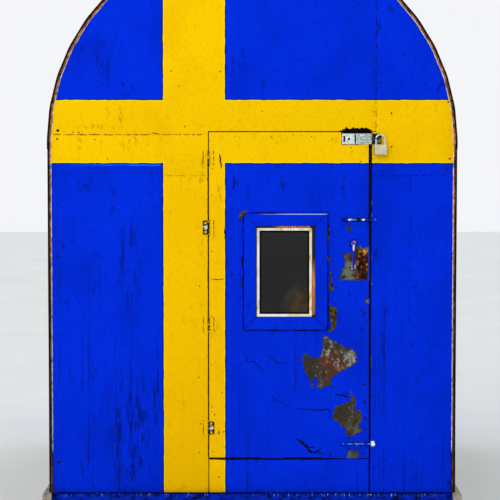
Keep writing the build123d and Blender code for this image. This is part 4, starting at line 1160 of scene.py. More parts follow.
CRACKS = (  # places along each crack, and its greatest width
    (
        (
            (328, 92), (311, 79), (295, 70), (289, 63), (273, 47), (268, 34), (256, 26), (240, 26),
            (225, 34), (213, 45),
        ),
        12,
    ),
    (((301, 64), (292, 59), (285, 58)), 7),
    (((272, 47), (258, 50), (240, 51)), 7),
    (((171, 28), (174, 18), (178, 6)), 6),
    (((203, 21), (195, 21)), 7),
    (((557, 485), (550, 462), (543, 436), (516, 436), (490, 410), (461, 382)), 4),
    (((458, 471), (432, 448), (408, 431), (359, 430)), 4),
    (
        (
            (322, 225), (290, 221), (257, 219), (215, 218), (187, 221), (176, 218), (173, 200),
            (176, 181), (163, 178),
        ),
        6,
    ),
    (((152, 289), (134, 285), (115, 283), (90, 275)), 8),
    (((135, 291), (112, 293), (90, 293)), 3),
    (((88, 96), (91, 80), (93, 55), (89, 36)), 7),
    (((442, 283), (424, 272), (405, 261), (386, 250), (369, 238)), 3),
    (((708, 809), (690, 805), (678, 804), (660, 806), (647, 808)), 4),
    (((606, 1273), (604, 1250), (605, 1228), (611, 1210)), 6),
    (((93, 755), (86, 742), (82, 728)), 4),
    (((647, 1042), (646, 1028), (646, 1014), (645, 1000), (646, 985)), 5),
    (((668, 1367), (666, 1345), (662, 1322), (660, 1300)), 8),
    (((671, 130), (672, 118), (673, 104)), 6),
    (((659, 117), (650, 121), (641, 124)), 3),
    (((177, 580), (182, 640), (183, 700), (180, 760)), 4),
    (((569, 1030), (569, 1018)), 6),
    (((568, 912), (567, 884), (569, 856)), 7),
    (((566, 820), (565, 792), (567, 768)), 6),
    (((563, 615), (562, 600), (560, 583)), 8),
    (((556, 577), (530, 578), (496, 576)), 6),
    (((470, 577), (420, 576), (372, 578)), 5),
    (((345, 577), (300, 575), (262, 578), (214, 576)), 6),
    (((187, 1078), (185, 1052), (186, 1020)), 6),
    (((400, 1106), (460, 1105), (520, 1107)), 3),
    (((640, 745), (632, 728), (622, 716)), 3),
)


def beside(tree, low, high, reach):
    """Strip of the front just outside a fitting between two corners, for a dark rim drawn round it."""
    place = position(tree)
    gaps = []
    for axis, a, b in (("X", low.x, high.x), ("Z", low.z, high.z)):
        away = add(tree, "SUBTRACT", (place[axis], (a + b) / 2))
        away = add(tree, "ABSOLUTE", (away,))
        gaps.append(add(tree, "SUBTRACT", (away, (b - a) / 2)))
    away = add(tree, "MAXIMUM", (gaps[0], gaps[1]))
    strip = add(tree, "MapRange", (away, reach, reach * 0.6))
    uneven = add(tree, "TexNoise", {"Vector": at_scale(tree, (16, 16, 16)), "Scale": 1.0, "Detail": 4.0})
    uneven = add(tree, "MapRange", (uneven, 0.4, 0.52, 0.35))
    return add(tree, "MULTIPLY", (strip, uneven))


def door_colours(tree):
    """The flag over the door, scuffed in short level scratches low down. Round the casing, the
    bolt plates and the handle's feet it has a dark rim of painted shade, round the hasp a brown
    rim of rust stain and painted shade, and black painted shade widens the gap lines at the
    door's head over the hasp and along its foot."""
    colour = flag_paint(tree)
    bolt_low, bolt_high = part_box("bolt_plates")
    handle_low, handle_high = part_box("pull_handle")
    upper_low = Vector((bolt_low.x, 0, bolt_high.z - 42 * MM))
    lower_high = Vector((bolt_high.x, 0, bolt_low.z + 42 * MM))
    # Painted shade: dark rims round the casing, the bolt plates and the handle's feet; round the hasp a
    # brown rim, rust stain and painted shade.
    for low, high, reach, tone in (
        (*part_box("window_casing"), 6.0 * MM, "#010314"),
        (upper_low, bolt_high, 2.6 * MM, "#021890"),
        (bolt_low, lower_high, 2.6 * MM, "#021890"),
        (*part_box("hasp_plate"), 5.0 * MM, "#7a4804"),
        (Vector((handle_low.x, 0, handle_high.z - 20 * MM)), handle_high, 7.5 * MM, "#010416"),
        (handle_low, Vector((handle_high.x, 0, handle_low.z + 20 * MM)), 7.5 * MM, "#010416"),
    ):
        grime_and_shade = beside(tree, low, high, reach)
        colour = add(tree, "MixRGB", (grime_and_shade, colour, tone))
    place = position(tree)
    hasp_low, hasp_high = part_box("hasp_plate")
    # Painted shade: black strips that widen the gap lines above the hasp and along the door's foot.
    for side, height, middle, half in (
        ("GREATER_THAN", hasp_high.z - 2 * MM, (hasp_low.x + latch_edge) / 2, 66 * MM),
        ("LESS_THAN", door_low + 3.6 * MM, hinge_edge + 117 * MM, 117 * MM),
        ("LESS_THAN", door_low + 3.6 * MM, hinge_edge + 418 * MM, 86 * MM),
    ):
        darkening = add(tree, side, (place["Z"], height))
        run = add(tree, "COMPARE", (place["X"], middle, half))
        darkening = add(tree, "MULTIPLY", (darkening, run))
        colour = add(tree, "MixRGB", (darkening, colour, "#060403"))
    scratch = add(tree, "TexNoise", {"Vector": at_scale(tree, (55, 20, 3)), "Scale": 1.0, "Detail": 2.0})
    scratch = add(tree, "MapRange", (scratch, 0.69, 0.73))
    on_blue = add(tree, "GREATER_THAN", (place["X"], UPRIGHT_BAR[1] + 10 * MM))
    below = add(tree, "LESS_THAN", (place["Z"], LEVEL_BAR[0] - 10 * MM))
    scratch = add(tree, "MULTIPLY", (scratch, on_blue))
    scratch = add(tree, "MULTIPLY", (scratch, below))
    return add(tree, "MixRGB", (scratch, colour, "#0a1c7c"))


def ochre_colours(tree):
    """Old ochre coat, olive with dirt and brown where rust has crept under it."""
    stain = add(tree, "TexNoise", {"Vector": at_scale(tree, (13, 13, 20)), "Scale": 1.0, "Detail": 4.0})
    return add(
        tree,
        "ValToRGB",
        (stain,),
        ((0.32, "#120c04"), (0.46, "#3a2c06"), (0.58, "#5c4c0c"), (0.7, "#5e5e34")),
    )


def rectangle(left, foot, right, head):
    """Outline of an upright rectangle, from the foot of its left side."""
    return [Vector(corner) for corner in ((left, foot), (right, foot), (right, head), (left, head))]


door_paint = oil_paint("flat_oil_paint_on_steel", door_colours)
old_paint = oil_paint("old_ochre_paint", ochre_colours)

top_right = max(v.co.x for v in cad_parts["door_skin"].data.vertices if v.co.z > door_top - 1 * MM)
window_low, window_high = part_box("window_lining")
INSET = 0.4 * MM
leaf_outline = rectangle(hinge_edge + INSET, door_low + INSET, latch_edge - INSET, door_top - INSET)
leaf_outline[2].x = top_right - INSET
window_outline = rectangle(window_low.x, window_low.z, window_high.x, window_high.z)
patches = [broken([at_door(*p) for p in patch], 5 * MM, 3.2 * MM) for patch in BARE_PATCHES]
flakes = [broken([at_door(*p) for p in patch], 4 * MM, 2.0 * MM) for patch in UNDERCOAT_PATCHES]
splits = [split_outline([at_door(*p) for p in places], 1.5 * width * MM) for places, width in CRACKS]

bm = bmesh.new()
edge_outline = broken(leaf_outline, 7 * MM, 0.7 * MM)
coat(bm, [edge_outline, *patches, *flakes, *splits, window_outline], steel_face, 0.55 * MM, 1.6 * MM)
top_coat = link("door_paint", bm, door_paint)
thicken(top_coat, 0.3 * MM)
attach(top_coat, "door")

bm = bmesh.new()
for patch in patches:
    coat(bm, [on_door(moved_out(patch, 5 * MM)), moved_out(patch, -2.6 * MM)], steel_face, 0.3 * MM, 0)
for flake in flakes:
    coat(bm, [moved_out(flake, 5 * MM)], steel_face, 0.3 * MM, 0)
undercoat = link("door_old_paint", bm, old_paint)
thicken(undercoat, 0.2 * MM)
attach(undercoat, "door")

# Fill under the cracks in the door's paint: soot and rust, and painted shade in the cracks.
bm = bmesh.new()
for split in splits:
    coat(bm, [moved_out(split, 2 * MM)], steel_face, 0.35 * MM, 0)
crack_fill = link("door_crack_dirt", bm, crack_dirt_and_shade)
thicken(crack_fill, 0.2 * MM)
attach(crack_fill, "door")

# Chips on the hut's edge beside the latch, where the bolts and the ice have knocked it.
bm = bmesh.new()
for height, half, width in ((1300, 13, 6), (1250, 10, 5), (1054, 13, 4.5), (930, 18, 6), (586, 30, 5)):
    foot = Vector((panel_edge + 1 * MM, FLOOR + (height - half) * MM))
    side, up = Vector((width * MM, 0)), Vector((0, 2 * half * MM))
    chip = [foot, foot + side * 0.5 + up * 0.2, foot + side + up * 0.6, foot + side * 0.4 + up, foot + up]
    coat(bm, [broken(chip, 5 * MM, 1.0 * MM)], FRONT, 0.75 * MM, 0)
jamb_chips = link("jamb_chips", bm, old_paint)
thicken(jamb_chips, 0.2 * MM)
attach(jamb_chips, "hut")

# Nails that hold the sheet along the latch edge and the foot: small, sunk and rusted black.
bm = bmesh.new()
for along, up, radius in (
    (20, 334, 7.0), (18, 253, 6.4), (16, 182, 6.2), (14, 132, 6.0), (26, 21, 6.2), (22, 655, 6.6),
    (36, 668, 4.6), (18, 604, 4.4), (30, 644, 4.0), (44, 655, 3.6), (218, 21, 6.0), (16, 1110, 2.6),
    (14, 1290, 2.8), (17, 1395, 2.6), (260, 1442, 2.6), (440, 1440, 2.8), (600, 1443, 2.4),
    (700, 1300, 2.6), (702, 1180, 2.4), (704, 930, 2.8), (703, 640, 2.6), (705, 420, 2.4), (702, 230, 2.6),
    (216, 22, 3.4), (420, 16, 2.8), (560, 14, 2.6), (700, 30, 2.8), (703, 238, 2.6), (692, 197, 3.4),
    (704, 210, 2.6), (659, 297, 2.4), (40, 1330, 3.0), (118, 1218, 2.6), (84, 1393, 3.4), (96, 980, 2.6),
    (152, 1240, 2.6), (150, 560, 2.2), (330, 560, 2.4), (470, 540, 2.2), (610, 560, 2.4),
):
    spot = at_door(along, up)
    nail_head(bm, Vector((spot.x, steel_face - 0.9 * MM, spot.y)), front_way, radius * MM, 0.9 * MM)
door_nails = link("door_nails", bm, nail_rust)
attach(door_nails, "door")

# ---------------------------------------------------------------- door window
# Mitred casing of planed boards in the door's blue, a raw pine lining, a white bead and one
# pane. The lining is widest on the latch side, where its orange wood was never painted.
casing_low, casing_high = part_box("window_casing")


def casing_colours(tree):
    """Blue paint with grime in the corners, pale along the top arris where it is rubbed and where
    a painted highlight stands for the sky on the edge, and knocked off here and there at the
    foot."""
    place = position(tree)
    colour = flag_paint(tree, False)
    wear = add(tree, "TexNoise", {"Vector": at_scale(tree, (60, 9, 9)), "Scale": 1.0, "Detail": 3.0})
    # Pale along the top arris on the latch half: rubbed paint, and a painted highlight.
    top = add(tree, "MapRange", (place["Z"], casing_high.z - 4.5 * MM, casing_high.z - 1.5 * MM))
    latch_half = add(tree, "MapRange", (place["X"], casing_low.x + 0.06, casing_low.x + 0.2))
    worn_and_lit_arris = add(tree, "MapRange", (wear, 0.34, 0.5, 0.25))
    worn_and_lit_arris = add(tree, "MULTIPLY", (worn_and_lit_arris, top))
    worn_and_lit_arris = add(tree, "MULTIPLY", (worn_and_lit_arris, latch_half))
    colour = add(tree, "MixRGB", (worn_and_lit_arris, colour, "#b9cdee"))
    ragged = add(tree, "TexNoise", {"Vector": at_scale(tree, (7, 7, 5)), "Scale": 1.0, "Detail": 3.0})
    ragged = add(tree, "MapRange", (ragged, 0.44, 0.5))
    for corner_x, corner_z, way, depth in (
        (casing_low.x, casing_low.z, 1, 0.85), (casing_high.x, casing_low.z, -1, 0.95),
        (casing_low.x, casing_high.z, -1, 0.6), (casing_high.x, casing_high.z, 1, 0.4),
    ):
        rise = add(tree, "SUBTRACT", (place["X"], corner_x))
        rise = add(tree, "MULTIPLY", (rise, way))
        level = add(tree, "SUBTRACT", (place["Z"], corner_z))
        off_line = add(tree, "SUBTRACT", (rise, level))
        mitre = add(tree, "COMPARE", (off_line, 0.0, 1.7 * MM))
        in_corner = add(tree, "COMPARE", (level, 0.0, 57 * MM))
        mitre = add(tree, "MULTIPLY", (mitre, in_corner))
        mitre = add(tree, "MULTIPLY", (mitre, depth))
        colour = add(tree, "MixRGB", (mitre, colour, "#020828"))
    for along, up, radius, tone in (
        (232, 603, 11, "#54200a"), (267, 586, 9, "#3c3210"), (552, 760, 9, "#5a260c"),
        (240, 650, 12, "#3d4a28"), (236, 690, 9, "#5d5a24"), (243, 636, 8, "#8ab0a8"),
        (554, 880, 7, "#2a1c0c"), (420, 583, 7, "#0a0a1c"),
    ):
        chip = add(tree, "MULTIPLY", (near(tree, along, up, radius), ragged))
        chip = add(tree, "MapRange", (chip, 0.25, 0.4))
        colour = add(tree, "MixRGB", (chip, colour, tone))
    return colour


casing_paint = oil_paint("oil_paint_on_casing", casing_colours)
casing = link("window_casing_boards", eased("window_casing", 1.6 * MM), casing_paint)
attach(casing, "door")
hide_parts("window_casing")

# Raw pine gone orange and brown, black on the hinge side where the paint and soot collect.
raw_pine, tree = new_material("raw_pine_lining")
place = position(tree)
grain = add(tree, "TexNoise", {"Vector": at_scale(tree, (3, 3, 60)), "Scale": 1.0, "Detail": 4.0})
wood = add(tree, "ValToRGB", (grain,), ((0.34, "#7c4114"), (0.52, "#c67634"), (0.68, "#e8a464")))
darkening = add(tree, "TexNoise", {"Vector": at_scale(tree, (20, 20, 40)), "Scale": 1.0, "Detail": 4.0})
shade = add(tree, "MapRange", (darkening, 0.56, 0.7))
wood = add(tree, "MixRGB", (shade, wood, "#5a2c10"))
hinge_side = add(tree, "MapRange", (place["X"], window_low.x + 120 * MM, window_low.x + 70 * MM))
dry_foot = add(tree, "MapRange", (place["Z"], FLOOR + 950 * MM, FLOOR + 1060 * MM))
upright = add(tree, "GREATER_THAN", (place["X"], window_high.x - 22 * MM))
painted = add(tree, "MULTIPLY", (dry_foot, upright))
dark = add(tree, "MAXIMUM", (hinge_side, painted))
foot = add(tree, "LESS_THAN", (place["Z"], window_low.z + 12 * MM))
dark = add(tree, "MAXIMUM", (dark, foot))
wood = add(tree, "MixRGB", (dark, wood, "#0d0b12"))
close_material(tree, wood, 0.7, grain, 0.3 * MM, {"Specular IOR Level": 0.25})

lining = link("window_lining_boards", eased("window_lining", 0.6 * MM, 1), raw_pine)
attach(lining, "door")
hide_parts("window_lining")

# White gloss on the bead, with yellow primer where it has chipped along the glass.
bead_paint, tree = new_material("white_gloss_on_bead")
chips = add(tree, "TexNoise", {"Vector": at_scale(tree, (5, 5, 30)), "Scale": 1.0, "Detail": 3.0})
age = add(tree, "TexNoise", {"Vector": at_scale(tree, (40, 40, 60)), "Scale": 1.0, "Detail": 3.0})
colour = add(tree, "ValToRGB", (age,), ((0.36, "#e2dcc0"), (0.55, "#f7f8f4")))
for along, up, radius in (
    (265, 905, 34), (268, 700, 60), (352, 1034, 22), (405, 1036, 26), (262, 1030, 20), (500, 690, 26)
):
    chip = add(tree, "MapRange", (chips, 0.47, 0.53))
    chip = add(tree, "MULTIPLY", (chip, near(tree, along, up, radius)))
    colour = add(tree, "MixRGB", (chip, colour, "#dcae04"))
close_material(tree, colour, 0.35, age, 0.3 * MM, {"Specular IOR Level": 0.4})

bead = link("window_bead_strips", eased("window_bead", 1.2 * MM), bead_paint)
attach(bead, "door")
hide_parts("window_bead")

# Window glass with a thin film of dirt, thicker and brown in the lower latch corner, and a
# near-black band of painted shade along the bead. It gives the eye a dark pane with a soft
# pale reflection.
glass, tree = new_material("window_glass")
film = add(tree, "TexNoise", {"Vector": at_scale(tree, (55, 55, 70)), "Scale": 1.0, "Detail": 6.0})
specks = add(tree, "TexVoronoi", {"Vector": at_scale(tree, (17, 17, 17)), "Scale": 1.0})
corner = near(tree, 295, 690, 110)
smear = add(tree, "MapRange", (film, 0.35, 0.68, 0, 0.75))
smear = add(tree, "MULTIPLY", (smear, corner))
dot = add(tree, "LESS_THAN", (specks.outputs["Distance"], 0.07))
thin = add(tree, "MapRange", (film, 0.3, 0.7, 0.0, 0.05))
dirt = add(tree, "ADD", (smear, thin))
dirt = add(tree, "MAXIMUM", (dirt, dot))
dirt_and_shade_colour = add(tree, "MixRGB", (corner, "#4d5049", "#5a4622"))
bead_xs = sorted({round(v.co.x, 5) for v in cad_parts["window_bead"].data.vertices})
bead_zs = sorted({round(v.co.z, 5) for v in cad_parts["window_bead"].data.vertices})
place = position(tree)
inside = []
for axis, places in (("X", bead_xs), ("Z", bead_zs)):
    middle, half = (places[1] + places[-2]) / 2, (places[-2] - places[1]) / 2 - 8 * MM
    inside.append(add(tree, "COMPARE", (place[axis], middle, half)))
clean = add(tree, "MULTIPLY", (inside[0], inside[1]))
# Painted shade: a near-black band 8 mm wide round the pane, along the bead.
rim = add(tree, "SUBTRACT", (1.0, clean))
dirt = add(tree, "MAXIMUM", (dirt, rim))
dirt_and_shade_colour = add(tree, "MixRGB", (rim, dirt_and_shade_colour, "#050504"))
bump = add(tree, "Bump", {"Height": film, "Distance": 0.05 * MM, "Strength": 1.0})
clear = add(
    tree,
    "BsdfPrincipled",
    {
        "Base Color": "#5e6656",
        "Roughness": 0.08,
        "IOR": 1.36,
        "Transmission Weight": 1.0,
        "Specular IOR Level": 0.03,
        "Normal": bump,
    },
)
dusty_and_shaded = add(
    tree, "BsdfPrincipled", {"Base Color": dirt_and_shade_colour, "Roughness": 0.8, "Specular IOR Level": 0.1}
)
surface = add(tree, "MixShader", (dirt, clear, dusty_and_shaded))
add(tree, "OutputMaterial", {"Surface": surface})
dress("window_pane", glass)

# ---------------------------------------------------------------- door hinges
# Four butt hinges screwed on the face, painted over in yellow with the wall. The paint has
# worn off the knuckles, and off one leaf each of the second and the lowest hinge.
hinge_x = (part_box("hinge_leaves_wall")[0].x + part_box("hinge_leaves_door")[1].x) / 2
HINGE_HEIGHTS = (292, 759, 1192, 1501)

hinge_finish, tree = new_material("painted_butt_hinge")
here = add(tree, "TexCoord").outputs["Object"]
place = position(tree)
mottle = add(tree, "TexNoise", {"Vector": at_scale(tree, (7, 7, 9)), "Scale": 1.0, "Detail": 4.0})
grime_and_shade = add(tree, "TexNoise", {"Vector": at_scale(tree, (3, 3, 5)), "Scale": 1.0, "Detail": 3.0})
zinc = add(tree, "ValToRGB", (grime_and_shade,), ((0.5, "#040404"), (0.6, "#23292e"), (0.7, "#93a0a8")))
colour = add(tree, "MixRGB", (mottle, "#fbca00", "#f3bc00"))
reach = add(tree, "SUBTRACT", (place["X"], hinge_x))
reach = add(tree, "ABSOLUTE", (reach,))
# Brown line along the leaves' outer edges: rust, and painted shade at the leaf's edge.
rim = add(tree, "MapRange", (reach, 20.0 * MM, 22.0 * MM))
rim_noise = add(tree, "MapRange", (mottle, 0.36, 0.5))
rim = add(tree, "MULTIPLY", (rim, rim_noise))
colour = add(tree, "MixRGB", (rim, colour, "#8a4a08"))
knuckle = add(tree, "MapRange", (reach, 5.5 * MM, 4.0 * MM))
knuckle_wear = add(tree, "MapRange", (mottle, 0.4, 0.48))
worn = add(tree, "MULTIPLY", (knuckle, knuckle_wear))
for x, height, radius in ((-13, 1192, 34), (11, 292, 32)):
    middle = (hinge_x + x * MM, steel_face, FLOOR + height * MM)
    away = add(tree, "VectorMath", (here, middle), operation="DISTANCE").outputs["Value"]
    side = add(tree, "SUBTRACT", (place["X"], hinge_x))
    side = add(tree, "MULTIPLY", (side, 1 if x > 0 else -1))
    side = add(tree, "GREATER_THAN", (side, -4 * MM))
    spot = add(tree, "MapRange", (away, radius * MM, (radius - 4) * MM))
    spot = add(tree, "MULTIPLY", (spot, side))
    patchy = add(tree, "MapRange", (mottle, 0.3, 0.4))
    spot = add(tree, "MULTIPLY", (spot, patchy))
    worn = add(tree, "MAXIMUM", (worn, spot))
    # Near white middle of the worn leaves: polished zinc, and a painted highlight.
    bright = add(tree, "MapRange", (away, 12.5 * MM, 8.5 * MM))
    polished = add(tree, "MapRange", (grime_and_shade, 0.42, 0.52))
    bright = add(tree, "MULTIPLY", (bright, polished))
    zinc = add(tree, "MixRGB", (bright, zinc, "#e4eef4"))
    for step in (-20, 20):
        screw = (hinge_x + x * MM, steel_face, FLOOR + (height + step) * MM)
        away = add(tree, "VectorMath", (here, screw), operation="DISTANCE").outputs["Value"]
        yellow_dot = add(tree, "MapRange", (away, 6.2 * MM, 5.0 * MM))
        zinc = add(tree, "MixRGB", (yellow_dot, zinc, "#f8c800"))
colour = add(tree, "MixRGB", (worn, colour, zinc))
metal = add(tree, "MULTIPLY", (worn, 0.25))
close_material(tree, colour, 0.7, grime_and_shade, 0.3 * MM, {"Metallic": metal, "Specular IOR Level": 0.03})
dress("hinge_leaves_wall", hinge_finish)
dress("hinge_leaves_door", hinge_finish)


def close_rings(bm, low, high):
    """Solid between two rings of corners."""
    bm.faces.new(high)
    bm.faces.new(low[::-1])
    for k in range(len(low)):
        j = (k + 1) % len(low)
        bm.faces.new((low[k], low[j], high[j], high[k]))


def screw_head(bm, centre, outward, radius, rise, turn_by):
    """Countersunk head with a straight slot, standing a little proud."""
    turn = outward.to_track_quat("Z", "Y").to_matrix() @ Matrix.Rotation(turn_by, 3, "Z")
    half_slot = math.asin(0.16)
    for side in (0, math.pi):
        angles = [side + half_slot + (math.pi - 2 * half_slot) * k / 6 for k in range(7)]
        low = circle(bm, centre, turn, angles, radius, 0)
        high = circle(bm, centre, turn, angles, 0.85 * radius, rise)
        close_rings(bm, low, high)
    angles = [2 * math.pi * k / 12 for k in range(12)]
    low = circle(bm, centre, turn, angles, radius, 0)
    high = circle(bm, centre, turn, angles, 0.9 * radius, rise * 0.35)
    close_rings(bm, low, high)


dice = random.Random(11)
leaf_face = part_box("door_skin")[0].y - 2 * MM
for body, side in (("hut", -1), ("door", 1)):
    bm = bmesh.new()
    for height in HINGE_HEIGHTS:
        for step in (-20, 0, 20):
            centre = Vector((hinge_x + side * (15 * MM), leaf_face, FLOOR + (height + step) * MM))
            screw_head(bm, centre, front_way, 3.6 * MM, 0.9 * MM, dice.uniform(0, math.pi))
    screws = link(f"hinge_screws_{body}", bm, hinge_finish)
    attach(screws, body)

# ---------------------------------------------------------------- bolts, handle and latch plate
# Two tower bolts and a bent rod handle, all painted over in blue and worn back to zinc and
# yellow primer where hands and ice touch them. The thin latch plate beside the handle has
# lost its paint and rusted through to orange scale.
BOLT_HEIGHTS = (220, 1227)


def worn_hardware(name, low, high, metal_tones, gloss=0.03, rod_heights=()):
    """Blue paint over zinc plate. Noise 9 mm across decides where it has worn through, from the
    level low up to high, and the rim of each worn place is dark. Rods get a painted highlight
    along the top and painted shadow below, so their heights are given."""
    material, tree = new_material(name)
    wear = add(tree, "TexNoise", {"Vector": at_scale(tree, (12, 9, 7)), "Scale": 1.0, "Detail": 4.0})
    fine = add(tree, "TexNoise", {"Vector": at_scale(tree, (3, 3, 3)), "Scale": 1.0, "Detail": 3.0})
    paint = add(tree, "MixRGB", (fine, "#0026c4", "#0230e4"))
    place = position(tree)
    for height in rod_heights:
        above = add(tree, "SUBTRACT", (place["Z"], FLOOR + height * MM))
        # Painted highlight along the top of the rod, and painted shadow below it.
        top = add(tree, "COMPARE", (above, 0.9 * MM, 4.2 * MM))
        under = add(tree, "COMPARE", (above, -5.4 * MM, 2.1 * MM))
        paint = add(tree, "MixRGB", (top, paint, "#1c70ff"))
        paint = add(tree, "MixRGB", (under, paint, "#010726"))
    bare = add(tree, "ValToRGB", (fine,), metal_tones)
    rim = add(tree, "MapRange", (wear, low - 0.05, low))
    through = add(tree, "MapRange", (wear, low, high))
    colour = add(tree, "MixRGB", (rim, paint, "#04060f"))
    colour = add(tree, "MixRGB", (through, colour, bare))
    metal = add(tree, "MULTIPLY", (through, 0.4))
    close_material(tree, colour, 0.55, fine, 0.25 * MM, {"Metallic": metal, "Specular IOR Level": gloss})
    return material


zinc_tones = ((0.35, "#b09a3c"), (0.5, "#cfd6c8"), (0.65, "#fbfdf6"))
plate_finish = worn_hardware("painted_bolt_plate", 0.78, 0.82, zinc_tones)
tree, shader, plain = colouring(plate_finish)
place = position(tree)
smear = add(tree, "TexNoise", {"Vector": at_scale(tree, (16, 9, 9)), "Scale": 1.0, "Detail": 3.0})
smear = add(tree, "MapRange", (smear, 0.42, 0.5))
# Painted shadow of each rod on its plate, in bands above and below the rod.
for height, depth in zip(BOLT_HEIGHTS, (0.8, 0.95)):
    level = add(tree, "SUBTRACT", (place["Z"], FLOOR + height * MM))
    level = add(tree, "ABSOLUTE", (level,))
    rod_shadow_on_plate = add(tree, "COMPARE", (level, 6.5 * MM, 3.0 * MM))
    rod_shadow_on_plate = add(tree, "MULTIPLY", (rod_shadow_on_plate, smear))
    rod_shadow_on_plate = add(tree, "MULTIPLY", (rod_shadow_on_plate, depth))
    plain = add(tree, "MixRGB", (rod_shadow_on_plate, plain, "#010520"))
tree.links.new(plain.outputs[0], shader.inputs["Base Color"])
upper_rod = worn_hardware("painted_bolt_rod_upper", 0.555, 0.585, zinc_tones, 0.2, BOLT_HEIGHTS[1:])
lower_rod = worn_hardware("painted_bolt_rod_lower", 0.62, 0.66, zinc_tones, 0.2, BOLT_HEIGHTS[:1])
dress("bolt_plates", plate_finish)
for node, rod, bands in (
    (
        "bolt_rod_upper",
        upper_rod,
        (
            (415, 11, "#02050f"), (433, 5, "#f2f1e0"), (474, 9, "#03060e"), (499, 9, "#f6ecc8"),
            (517, 5, "#04060c"), (528, 6, "#071f7a"), (548, 4, "#d8c480"),
        ),
    ),
    (
        "bolt_rod_lower",
        lower_rod,
        ((417, 4, "#a8e4ff"), (455, 5, "#3a2606"), (473, 3, "#8a6a1c"), (544, 10, "#fbf6e2")),
    ),
):
    tree, shader, painted = colouring(rod)
    place = position(tree)
    for middle, half, tone in bands:
        band = add(tree, "COMPARE", (place["X"], middle * MM, half * MM))
        painted = add(tree, "MixRGB", (band, painted, tone))
    tree.links.new(painted.outputs[0], shader.inputs["Base Color"])
    dress(node, rod)

keeper_finish = worn_hardware("painted_bolt_keeper", 0.66, 0.7, zinc_tones)
tree, shader, painted = colouring(keeper_finish)
primer = add(tree, "MapRange", (near(tree, -18, 65, 31), 0.45, 0.7))
place = position(tree)
knob = add(tree, "COMPARE", (place["Z"], FLOOR + 221 * MM, 11 * MM))
primer = add(tree, "MULTIPLY", (primer, knob))
colour = add(tree, "MixRGB", (primer, painted, "#fbf6e2"))
tree.links.new(colour.outputs[0], shader.inputs["Base Color"])
dress("bolt_keepers", keeper_finish)

for body, spots in (
    ("door", [(x, z) for z in BOLT_HEIGHTS for x in (422, 492)]),
    ("hut", [(541, z) for z in BOLT_HEIGHTS]),
):
    bm = bmesh.new()
    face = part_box("bolt_plates")[1].y - 1.5 * MM
    for x, z in spots:
        for step in (-15.5, 15.5):
            centre = Vector((x * MM, face, FLOOR + (z + step) * MM))
            screw_head(bm, centre, front_way, 3.0 * MM, 0.8 * MM, dice.uniform(0, math.pi))
    screws = link(f"bolt_screws_{body}", bm, plate_finish)
    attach(screws, body)

handle_finish = worn_hardware("painted_pull_handle", 0.66, 0.7, zinc_tones)
tree, shader, painted = colouring(handle_finish)
fine = add(tree, "TexNoise", {"Vector": at_scale(tree, (6, 6, 6)), "Scale": 1.0, "Detail": 3.0})
worn_edge = add(tree, "MapRange", (fine, 0.4, 0.46))
for along, up, radius, tone in (
    (64, 966, 15, "#e0a000"), (62, 868, 15, "#f6ecb0"), (84, 858, 15, "#dcb008"), (84, 958, 12, "#a87c08"),
):
    spot = add(tree, "MapRange", (near(tree, along, up, radius), 0, 0.3))
    spot = add(tree, "MULTIPLY", (spot, worn_edge))
    painted = add(tree, "MixRGB", (spot, painted, tone))
handle_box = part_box("pull_handle")
place = position(tree)
# Near white on the front of the grip's upper part: worn metal, and a painted highlight.
forward = add(tree, "MapRange", (place["Y"], handle_box[0].y + 3 * MM, handle_box[0].y + 1.0 * MM))
high = add(tree, "MapRange", (place["Z"], handle_box[1].z - 46 * MM, handle_box[1].z - 34 * MM))
polish = add(tree, "MULTIPLY", (forward, high))
painted = add(tree, "MixRGB", (polish, painted, "#eef2f4"))
# Painted shade down the right side of the grip.
shaded_right_side = add(tree, "MapRange", (place["X"], handle_box[1].x - 8.5 * MM, handle_box[1].x - 6.5 * MM))
between = add(tree, "COMPARE", (place["Z"], (handle_box[0].z + handle_box[1].z) / 2, 42 * MM))
shaded_right_side = add(tree, "MULTIPLY", (shaded_right_side, between))
painted = add(tree, "MixRGB", (shaded_right_side, painted, "#01061f"))
tree.links.new(painted.outputs[0], shader.inputs["Base Color"])
dress("pull_handle", handle_finish)

# Rust scale: dark brown blistered crust 12 mm across with orange bloom along the edges.
rust_scale, tree = new_material("rust_scale")
crust = add(tree, "TexNoise", {"Vector": at_scale(tree, (14, 14, 18)), "Scale": 1.0, "Detail": 6.0})
fleck = add(tree, "TexNoise", {"Vector": at_scale(tree, (5, 5, 7)), "Scale": 1.0, "Detail": 3.0})
colour = add(
    tree, "ValToRGB", (crust,), ((0.34, "#0c0502"), (0.47, "#231008"), (0.6, "#44200e"), (0.74, "#6e300e"))
)
pit = add(tree, "MapRange", (fleck, 0.7, 0.8))
colour = add(tree, "MixRGB", (pit, colour, "#c87038"))
for along, up, radius, tone in (
    (30, 928, 20, "#f0984a"), (48, 912, 13, "#a8501c"), (8, 935, 14, "#a8703c"), (54, 880, 16, "#b0521c"),
    (26, 890, 9, "#b4521a"), (36, 862, 8, "#a04a18"), (55, 812, 9, "#c8622a"), (10, 872, 7, "#b87038"),
    (57, 835, 13, "#a04a18"), (30, 818, 14, "#120703"), (8, 850, 9, "#9a5424"), (5, 905, 8, "#8a5c3c"),
):
    spot = add(tree, "MapRange", (crust, 0.42, 0.5))
    spot = add(tree, "MULTIPLY", (spot, near(tree, along, up, radius)))
    colour = add(tree, "MixRGB", (spot, colour, tone))
close_material(tree, colour, 0.9, crust, 0.8 * MM, {"Specular IOR Level": 0.15})

plate_low, plate_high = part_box("latch_plate")
corners = rectangle(plate_low.x + MM, plate_low.z + MM, plate_high.x - MM, plate_high.z - MM)
bm = bmesh.new()
coat(bm, [broken(corners, 4 * MM, 1.6 * MM)], steel_face, steel_face - plate_low.y, 0)
latch = link("latch_plate_rusted", bm, rust_scale)
thicken(latch, 1.0 * MM)
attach(latch, "door")
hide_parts("latch_plate")

